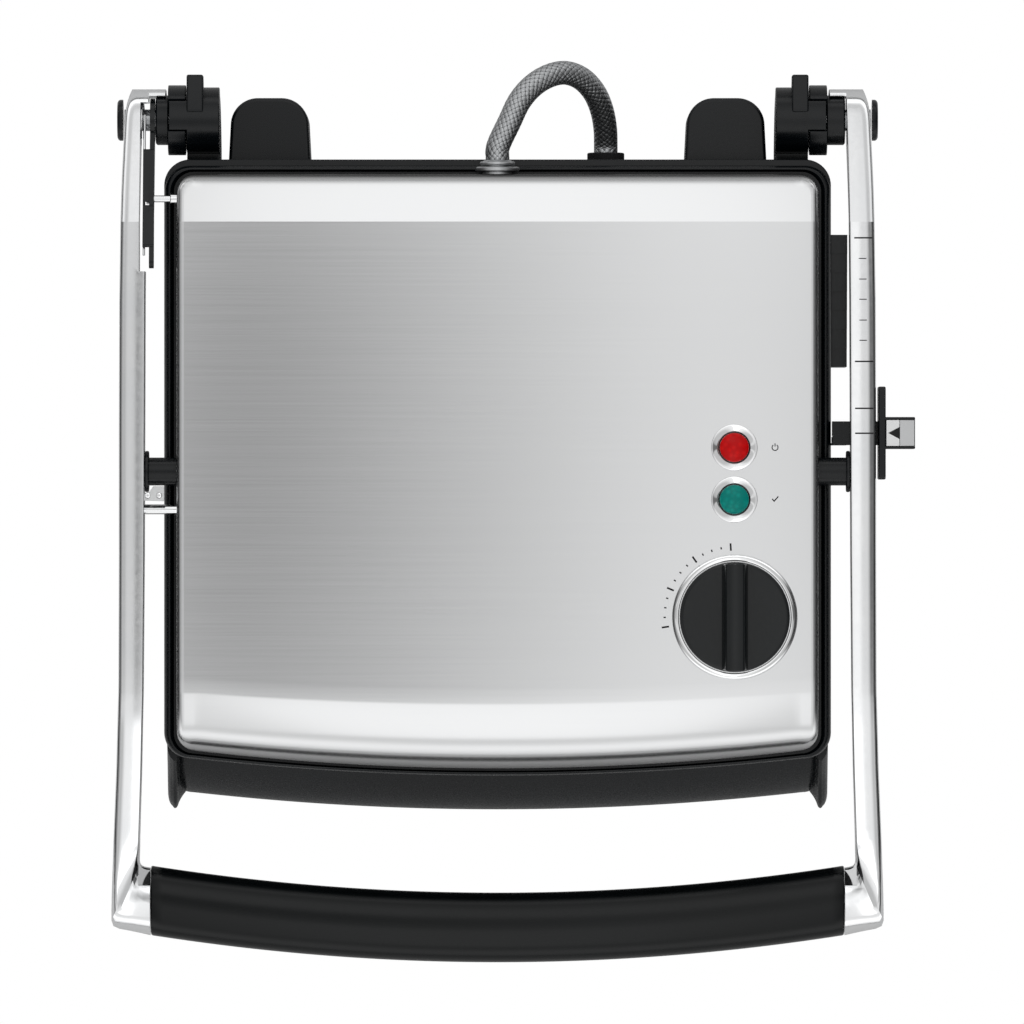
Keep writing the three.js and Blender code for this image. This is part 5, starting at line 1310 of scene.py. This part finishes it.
def lead_mesh(name, first, last):
    """A stretch of the lead with the braid's strands raised on it, and its turn and length as a UV map."""
    wound = [lead_length * i / (LEAD_RINGS - 1) / BRAID_PITCH for i in range(LEAD_RINGS)]
    frames = lead_frames()
    rings = []
    for i in range(first, last + 1):
        normal, side = frames[i]
        ring = []
        for k in range(LEAD_SIDES):
            turn = k / LEAD_SIDES
            strands = [abs(math.sin(math.pi * STRANDS * (turn + way * wound[i]))) for way in (1, -1)]
            radius = LEAD_RADIUS + BRAID_DEPTH * (max(strands) - 1)
            direction = normal * math.cos(2 * math.pi * turn) + side * math.sin(2 * math.pi * turn)
            ring.append(tuple(line[i] + direction * radius))
        rings.append(ring)
    made = mesh(name, *lofted(rings), None, BRAID, smooth=LEAD_SHADE)
    layer = made.data.uv_layers.new(name="UVMap")
    for number, face in enumerate(made.data.polygons[: (last - first) * LEAD_SIDES]):
        for corner in face.loop_indices:
            row, spoke = divmod(made.data.loops[corner].vertex_index, LEAD_SIDES)
            past_seam = spoke == 0 and (number + 1) % LEAD_SIDES == 0
            layer.data[corner].uv = (1.0 if past_seam else spoke / LEAD_SIDES, wound[first + row])
    return made


apex = int(LEAD_RINGS * LEAD_APEX)
upper_lead = lead_mesh("lead_upper", 0, apex)
lower_lead = lead_mesh("lead_lower", apex, LEAD_RINGS - 1)
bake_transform(upper_lead)
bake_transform(lower_lead)
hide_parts("conduit")

# Pivot bushes, and the pins that the link and the stop plate meet
BUSH_BORE = 4.4
BUSH_SHANK = 6.45
BUSH_FLANGE = [(6.45, -1.8), (9.1, -1.8), (9.5, -1.4), (9.5, -0.4), (9.1, 0), (4.4, 0)]
PIN_START = 147.8
GUIDE_REACH = 36.8
GUIDE_RISE = 18.0
GUIDE = [
    (0, PIN_START), (2.35, PIN_START), (2.35, 150.6), (1.6, 151.0), (1.6, 160.6), (2.5, 160.95), (2.5, 161.7),
    (2.2, 161.95), (0, 161.95),
]
STOP_REACH = 180.0
STOP_RISE = 22.0
STOP_RADIUS = 2.3
STOP_EDGE = 0.3
PIN_SIDES = 48
for right in (True, False):
    low, high = from_hinge(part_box("pivot_bush_right"))
    profile = [(BUSH_BORE, low[0]), (BUSH_SHANK, low[0]), *raised(BUSH_FLANGE, high[0])]
    shape = sided(turned(profile, about_x(-PIVOT_REACH, PIVOT_HEIGHT)), right)
    bush = mesh(mirrored_name("pivot_boss", right), *shape, "lid", BLACK, slot="gloss_black")
    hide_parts(mirrored_name("pivot_bush", right))
shape = flipped(turned(GUIDE, about_x(-GUIDE_REACH, HINGE_HEIGHT + GUIDE_RISE), PIN_SIDES))
guide = mesh("guide_stud", *shape, "lid", CHROME, slot="chrome")
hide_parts("guide_pin")
stop_end = -from_hinge(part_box("stop_pin"))[0][0]
profile = [(0, PIN_START), (STOP_RADIUS, PIN_START), (STOP_RADIUS, stop_end - STOP_EDGE)]
profile += [(STOP_RADIUS - STOP_EDGE, stop_end), (0, stop_end)]
shape = flipped(turned(profile, about_x(-STOP_REACH, HINGE_HEIGHT + STOP_RISE), PIN_SIDES))
stop = mesh("stop_stud", *shape, "lid", CHROME, slot="chrome")
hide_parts("stop_pin")

# Balance link: hub, bar with its slot, rib and tip, whose ends are measured from the hinge
LINK_SIDES = (158.4, 160.6)
RIB_SIDES = (158.4, 163.6)
CUT_PAST = 2.0
CUT_SIDES = (LINK_SIDES[0] - CUT_PAST, LINK_SIDES[1] + CUT_PAST)
LINK_HUB = 10.0
LINK_BAR = 4.5
LINK_TIP = 3.0
TIP_END = (-66.0, 24.5)
RIB_RADIUS = 1.3
RIB_START = (-15.0, 13.0)
RIB_END = (-58.0, 25.6)
SLOT_RADIUS = 2.2
SLOT_LENGTH = 3.2
LINK_EDGE = 0.35
stretch = 1 + SLOT_LENGTH / math.hypot(GUIDE_REACH, GUIDE_RISE)
slot_start = (-GUIDE_REACH, GUIDE_RISE)
slot_end = (-GUIDE_REACH * stretch, GUIDE_RISE * stretch)


def link_bar(start, end, radius, sides):
    line_ends = (start[0], HINGE_HEIGHT + start[1], end[0], HINGE_HEIGHT + end[1])
    return flipped(across(stadium(*line_ends, radius), *sides))


link_hub = flipped(across(circle(0, HINGE_HEIGHT, LINK_HUB), *LINK_SIDES))
link_piece = mesh("swing_link", *link_hub, None, GLOSS_BLACK)
bar = link_bar((0, 0), slot_end, LINK_BAR, LINK_SIDES)
tip = link_bar(slot_end, TIP_END, LINK_TIP, LINK_SIDES)
rib = link_bar(RIB_START, RIB_END, RIB_RADIUS, RIB_SIDES)
combined(link_piece, "UNION", [bar, tip, rib])
slot_cut = link_bar(slot_start, slot_end, SLOT_RADIUS, CUT_SIDES)
bore_cut = flipped(across(circle(0, HINGE_HEIGHT, PIN_BORE), *CUT_SIDES))
combined(link_piece, "DIFFERENCE", [slot_cut, bore_cut])
smoothed(link_piece)
rounded(link_piece, LINK_EDGE, 2)
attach(link_piece, "link")
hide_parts("balance_link")

# Balance spring, along the same line as in the solids
SPRING_WIRE = 0.55
SPRING_GAP = 0.3
SPRING_RADIUS = 8.6
SPRING_PITCH = 1.6
SPRING_TURNS = 2.25
LEG_REACH = 63.0
LEG_RISE = 25.0


def spring_line(per_turn=48, leg_steps=24):
    outer = SPRING_DEPTH - SPRING_GAP - SPRING_WIRE
    start = math.atan2(LEG_RISE, -LEG_REACH) - math.acos(SPRING_RADIUS / math.hypot(LEG_REACH, LEG_RISE))
    steps = int(SPRING_TURNS * per_turn)
    points = []
    for i in range(steps + 1):
        turn = start + 2 * math.pi * (steps - i) / per_turn
        y, z = SPRING_RADIUS * math.cos(turn), SPRING_RADIUS * math.sin(turn)
        points.append((outer - SPRING_PITCH * i / per_turn, y, HINGE_HEIGHT + z))
    inner = outer - SPRING_TURNS * SPRING_PITCH
    y, z = points[-1][1:]
    shares = [i / leg_steps for i in range(1, leg_steps + 1)]
    leg_end = HINGE_HEIGHT + LEG_RISE
    return points + [(inner, y + share * (-LEG_REACH - y), z + share * (leg_end - z)) for share in shares]


def tube(points, radius, sides=12):
    centres = np.array(points, float)
    headings = np.gradient(centres, axis=0)
    headings /= np.linalg.norm(headings, axis=1)[:, None]
    turns = [2 * math.pi * k / sides for k in range(sides)]
    rings = []
    for place, heading in zip(centres, headings):
        one = np.cross(heading, [1.0, 0, 0])
        one /= np.linalg.norm(one)
        two = np.cross(heading, one)
        spokes = [math.cos(turn) * one + math.sin(turn) * two for turn in turns]
        rings.append([tuple(place + radius * spoke) for spoke in spokes])
    return lofted(rings)


spring_shape = flipped(tube(spring_line(), SPRING_WIRE))
spring = mesh("link_spring", *spring_shape, "link", CHROME, smooth=RING_SHADE, slot="chrome")
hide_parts("balance_spring")

# Slider on the right arm: the same blocks as the solid, with rounded edges
FINGER_REACH = 144.9
FINGER_HALF = 5.5
FINGER_X = (154.6, 161.2)
FINGER_LOW = 74.0
TOE_HEIGHTS = (67.7, 71.2)
TOE_WALL = 3.4
TOE_LENGTH = 6.6
TOE_TOP_GAP = 0.01
BRIDGE = (79.0, 83.5)
PLATE_X = (175.3, 178.6)
PLATE_HALF = 21.4
PLATE_CORNER = 2.2
KNOB_HALF = 7.35
KNOB_SINK = 0.2
KNOB_LOW = 13.0
KNOB_WALL = 1.3
KNOB_POCKET = 1.2
POCKET_PAST = 3
BLOCK_EDGE = 0.4
SLIDE_PLATE_EDGE = 0.6
KNOB_EDGE = 0.5
SLIDE_PLATE_HEIGHT = 22.0
PLATE_CORNER_STEPS = 6
slider_high = from_hinge(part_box("slider_body"))[1]
slider_outer = slider_high[0]
slider_top = slider_high[2]


def along_slider(half):
    return -FINGER_REACH - half, -FINGER_REACH + half


finger_y = along_slider(FINGER_HALF)
finger_end = finger_y[1]
slider = mesh("slide_block", *box(*FINGER_X, *finger_y, FINGER_LOW, BRIDGE[1]), None, BLACK)
toe_wall = box(*FINGER_X, finger_end - TOE_WALL, finger_end, TOE_HEIGHTS[0], BRIDGE[1] - TOE_TOP_GAP)
toe = box(*FINGER_X, finger_end - TOE_LENGTH, finger_end, *TOE_HEIGHTS)
combined(slider, "UNION", [toe_wall, toe, box(FINGER_X[0], PLATE_X[1], *finger_y, *BRIDGE)])
smoothed(slider)
rounded(slider, BLOCK_EDGE, 2)
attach(slider, "slider")
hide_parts("slider_body")
plate_z = (BRIDGE[0], BRIDGE[0] + SLIDE_PLATE_HEIGHT)
plate_ring = rounded_rect(*along_slider(PLATE_HALF), *plate_z, PLATE_CORNER, PLATE_CORNER_STEPS)
plate = across(plate_ring, *PLATE_X)
mesh("slide_plate", *plate, "slider", BLACK, bevel=SLIDE_PLATE_EDGE, slot="black_plastic")
knob_x = (PLATE_X[0] + KNOB_SINK, slider_outer)
knob_shape = box(*knob_x, *along_slider(KNOB_HALF), slider_top - KNOB_LOW, slider_top)
knob_box = mesh("slide_knob", *knob_shape, None, BLACK)
pocket_x = (PLATE_X[1], slider_outer + POCKET_PAST)
pocket_z = (slider_top - KNOB_POCKET, slider_top + POCKET_PAST)
combined(knob_box, "DIFFERENCE", [box(*pocket_x, *along_slider(KNOB_HALF - KNOB_WALL), *pocket_z)])
smoothed(knob_box)
rounded(knob_box, KNOB_EDGE)
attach(knob_box, "slider")

# The slider's bright face: a level part with an arrow, and a slope
FACE_GAP = 0.1
FACE_END = 184.9
FACE_EDGE = 0.25
SLOPE_GROOVE = 0.2
SLOPE_START = FACE_END + SLOPE_GROOVE
SLOPE_DROPS = (0.15, 0.9)
SLOPE_EDGE = 0.2
SLOPE_GAP = 0.3
ARROW_TIP = 179.7
ARROW_HALF = 2.8
ARROW_HEIGHTS = (-0.05, 0.03)
badge_low, badge_high = from_hinge(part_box("slider_badge"))
face_y = along_slider(KNOB_HALF - KNOB_WALL - FACE_GAP)
face_z = (badge_low[2], badge_high[2])
face = box(badge_low[0], FACE_END, *face_y, *face_z)
badge = mesh("slide_face", *face, "slider", BADGE, bevel=FACE_EDGE, slot="chrome")
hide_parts("slider_badge")
slope_end = slider_outer - SLOPE_GAP
slope = [(SLOPE_START, face_z[0]), (slope_end, face_z[0])]
slope += [(slope_end, face_z[1] - SLOPE_DROPS[1]), (SLOPE_START, face_z[1] - SLOPE_DROPS[0])]
mesh("slide_slope", *back(slope, *face_y), "slider", ALLOY, bevel=SLOPE_EDGE, slot="chrome")
arrow_sides = along_slider(ARROW_HALF)
arrow = [(ARROW_TIP, -FINGER_REACH), (FACE_END, arrow_sides[0]), (FACE_END, arrow_sides[1])]
mesh("slide_arrow", *up(arrow, *(slider_top + height for height in ARROW_HEIGHTS)), "slider", PRINT)

# Height scale printed on the right arm, by rows of the photograph: long lines and short ones
LONG_ROWS = (238.0, 361.5, 408.4, 433.3)
SHORT_ROWS = (258.6, 279.2, 299.4, 320.2, 340.4)
FIRST_PIXEL = 118.0
LONG_INSETS = (2.0, 1.2)
LONG_HALF = 0.35
SHORT_LENGTH = 1.7
SHORT_HALF = 0.22
scale_lines = []
for row in LONG_ROWS + SHORT_ROWS:
    y = (FIRST_PIXEL - row) * PIXEL
    half = LONG_HALF if row in LONG_ROWS else SHORT_HALF
    middle = (inner_at(-y) + outer_at(-y)) / 2
    ends = (middle - SHORT_LENGTH, middle + SHORT_LENGTH)
    if row in LONG_ROWS:
        ends = (inner_at(-y) + LONG_INSETS[0], outer_at(-y) - LONG_INSETS[1])
    scale_lines.append(box(*ends, y - half, y + half, ARM_TOP + PRINT_LOW, ARM_TOP + PRINT_HIGH))
mesh("height_scale", *added(*scale_lines), "arms", PRINT)

# CAD nodes that stay, with their own materials and slightly rounded edges
KEPT = [
    (RUBBER, 0.8, "rear_pad_right rear_pad_left front_pad_right front_pad_left"),
    (RUBBER, 0.5, "mains_entry"),
    (BLACK, 0.5, "drip_tray"),
    (BLACK, 0.3, "lock_keeper"),
    (GLOSS_BLACK, 0.25, "height_rack"),
    (NONSTICK, 0.5, "lower_plate"),
    (NONSTICK, 0.6, "upper_plate"),
    (RESIN, 0.5, "terminal_block"),
    (RESIN, 0.4, "thermostat"),
    (RESIN, 0, "lamp_body_power lamp_body_ready"),
    (SHEET, 0, "lower_heat_shield upper_heat_shield"),
    (PLAIN_STEEL, 0.4, "bottom_cover"),
    (PLAIN_STEEL, 0.3, "lid_bracket_right lid_bracket_left"),
    (PLAIN_STEEL, 0, "lower_element upper_element grip_core"),
    (PLAIN_STEEL, 0, "hinge_pin_right hinge_pin_left pivot_pin_right pivot_pin_left"),
]
KEPT_ANGLE = 40.0
for material, width, names in KEPT:
    for name in names.split():
        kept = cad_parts[name]
        kept.data.materials.clear()
        kept.data.materials.append(material)
        if width:
            rounded(kept, width, 2, KEPT_ANGLE)

# Stage, in metres: a floor, and an overhead card that metal reflects
FLOOR_HALF = 9.0
FLOOR_LEVEL = -0.0005
FLOOR_GREY = (0.75, 0.75, 0.75, 1)
WHITE_STRENGTH = 1.0
CARD_HEIGHT = 1.15
CARD_HALF = 1.6

# The card's strengths: pairs change from one to the other along X, and CARD_FAR along Y
CARD_ACROSS = (0.26, 1.06)
CARD_ARMS = (0.68, 0.74)
CARD_SIDE = (0.5, 0.16)
CARD_BRIGHT = 1.36
CARD_FAR = (1.36, 0.95)
ARMS_BRIGHT = (0.97, 0.9)
ENDS_SIDE = 0.55
FRONT_RISE = 0.27
REAR_RISE = 0.36

# Where the card's strengths change, along X and Y
ACROSS_X = (-0.17, 0.09)
ARMS_X = (-0.2, 0.2)
WIDE = (-0.3, 0.3)
ARMS_START = (0.176, 0.188)
SIDE_START = (0.24, 0.8)
FRONT_START = (-0.05, -0.17)
REAR_START = (0.14, 0.25)
ENDS_START = (0.24, 0.38)
FAR_START = (0.75, 1.3)


def flat(name, half, z):
    data = bpy.data.meshes.new(name)
    corners = [(-half, -half, 0), (half, -half, 0), (half, half, 0), (-half, half, 0)]
    data.from_pydata(corners, [], [[0, 1, 2, 3]])
    made = placed(name, data)
    made.location = (0, 0, z)
    return made


def cleared(tree, output_kind):
    """An empty node tree with only its output."""
    tree.nodes.clear()
    return node(tree, output_kind)


def glowing(tree, kind, strength):
    made = node(tree, kind)
    made.inputs["Color"].default_value = (1, 1, 1, 1)
    feed(tree, strength, made.inputs["Strength"])
    return made.outputs[0]


def by_camera(tree, other, seen, out):
    """What the camera sees is one shader, and everything else gets the other."""
    path = node(tree, "ShaderNodeLightPath")
    made = node(tree, "ShaderNodeMixShader")
    link(tree, path.outputs["Is Camera Ray"], made.inputs["Fac"])
    link(tree, other, made.inputs[1])
    link(tree, seen, made.inputs[2])
    link(tree, made.outputs["Shader"], out.inputs["Surface"])


def floor_material():
    material, tree, shader = new_material("floor_white")
    out = cleared(tree, "ShaderNodeOutputMaterial")
    plain = node(tree, "ShaderNodeBsdfDiffuse")
    plain.inputs["Color"].default_value = FLOOR_GREY
    by_camera(tree, plain.outputs["BSDF"], glowing(tree, "ShaderNodeEmission", WHITE_STRENGTH), out)
    return material


def card_material():
    """Grey over the grill, darker to the left and at both sides, and bright in front and behind."""
    material, tree, shader = new_material("overhead_card")
    out = cleared(tree, "ShaderNodeOutputMaterial")
    place = axes(tree, "Object")
    sideways = worked(tree, "ABSOLUTE", place["X"])
    away = worked(tree, "ABSOLUTE", place["Y"])
    over_arms = smooth_step(tree, sideways, *ARMS_START)
    beside = smooth_step(tree, sideways, *SIDE_START)
    middle = ranged(tree, place["X"], *CARD_ACROSS, *ACROSS_X)
    middle = mixed(tree, "FLOAT", over_arms, middle, ranged(tree, place["X"], *CARD_ARMS, *ARMS_X))
    middle = mixed(tree, "FLOAT", beside, middle, ranged(tree, place["X"], *CARD_SIDE, *WIDE))
    front_rise = smooth_step(tree, place["Y"], *FRONT_START, 0.0, FRONT_RISE)
    rear_rise = smooth_step(tree, place["Y"], *REAR_START, 0.0, REAR_RISE)
    middle = mixed(tree, "FLOAT", front_rise, middle, CARD_BRIGHT)
    middle = mixed(tree, "FLOAT", rear_rise, middle, CARD_BRIGHT)
    bright = mixed(tree, "FLOAT", over_arms, CARD_BRIGHT, ranged(tree, place["X"], *ARMS_BRIGHT, *ARMS_X))
    bright = mixed(tree, "FLOAT", beside, bright, ENDS_SIDE)
    near = mixed(tree, "FLOAT", smooth_step(tree, away, *ENDS_START), middle, bright)
    ends = mixed(tree, "FLOAT", over_arms, ranged(tree, place["Y"], *CARD_FAR, *WIDE), bright)
    far = mixed(tree, "FLOAT", smooth_step(tree, away, *FAR_START), near, ends)
    link(tree, glowing(tree, "ShaderNodeEmission", far), out.inputs["Surface"])
    return material


floor = flat("floor", FLOOR_HALF, FLOOR_LEVEL)
floor.data.materials.append(floor_material())
card = flat("overhead_card", CARD_HALF, CARD_HEIGHT)
card.data.materials.append(card_material())
card.visible_camera = False

# World: white to the camera; to everything else a dark room with light in front and behind.
# Each of these is a start and an end, by the direction's part along one axis, and the strengths at both.
ROOM_STRONG = 1.3
SIDES_X = (-0.3, 0.3, 0.3, 0.12)
STRONG_Y = (0.35, 0.8)
FRONT_RISE_Z = (-0.3, 0.3, 0.35, 1.0)
FRONT_FALL_Z = (0.3, 0.5, 1.0, 0.64)
REAR_RISE_Z = (0.02, 0.15, 0.05, 1.0)
REAR_FALL_Z = (0.3, 0.5, 1.0, 0.5)
SIDES_Z = (0.1, 0.5, 0.05, 1.0)
REAR_Y = (-0.1, 0.1)
ENDS_Y = (0.2, 0.6)


def light_room(tree):
    out = cleared(tree, "ShaderNodeOutputWorld")
    way = axes(tree, "Generated")
    away = worked(tree, "ABSOLUTE", way["Y"])
    strong = smooth_step(tree, away, *STRONG_Y)
    ahead = mixed(tree, "FLOAT", strong, smooth_step(tree, way["X"], *SIDES_X), ROOM_STRONG)
    levels = []
    for rise, fall in ((FRONT_RISE_Z, FRONT_FALL_Z), (REAR_RISE_Z, REAR_FALL_Z)):
        rising, falling = (smooth_step(tree, way["Z"], *limits) for limits in (rise, fall))
        levels.append(worked(tree, "MULTIPLY", rising, falling))
    ends_level = mixed(tree, "FLOAT", smooth_step(tree, way["Y"], *REAR_Y), *levels)
    side_level = smooth_step(tree, way["Z"], *SIDES_Z)
    level = mixed(tree, "FLOAT", smooth_step(tree, away, *ENDS_Y), side_level, ends_level)
    room = glowing(tree, "ShaderNodeBackground", worked(tree, "MULTIPLY", ahead, level))
    by_camera(tree, room, glowing(tree, "ShaderNodeBackground", WHITE_STRENGTH), out)


world = bpy.data.worlds.new("room")
world.use_nodes = True
light_room(world.node_tree)
bpy.context.scene.world = world

# Camera straight above
camera_data = bpy.data.cameras.new("camera")
camera = placed("camera", camera_data)
camera.location = (CAMERA_X * MM, CAMERA_Y * MM, CAMERA_HEIGHT)
camera_data.sensor_width = SENSOR
camera_data.lens = SENSOR * (CAMERA_HEIGHT - FOCUS_HEIGHT) / (PICTURE_SIDE * PIXEL * MM)
camera_data.clip_start = CLIP_START
camera_data.clip_end = CLIP_END
bpy.context.scene.camera = camera
bpy.context.scene.view_settings.view_transform = "Standard"
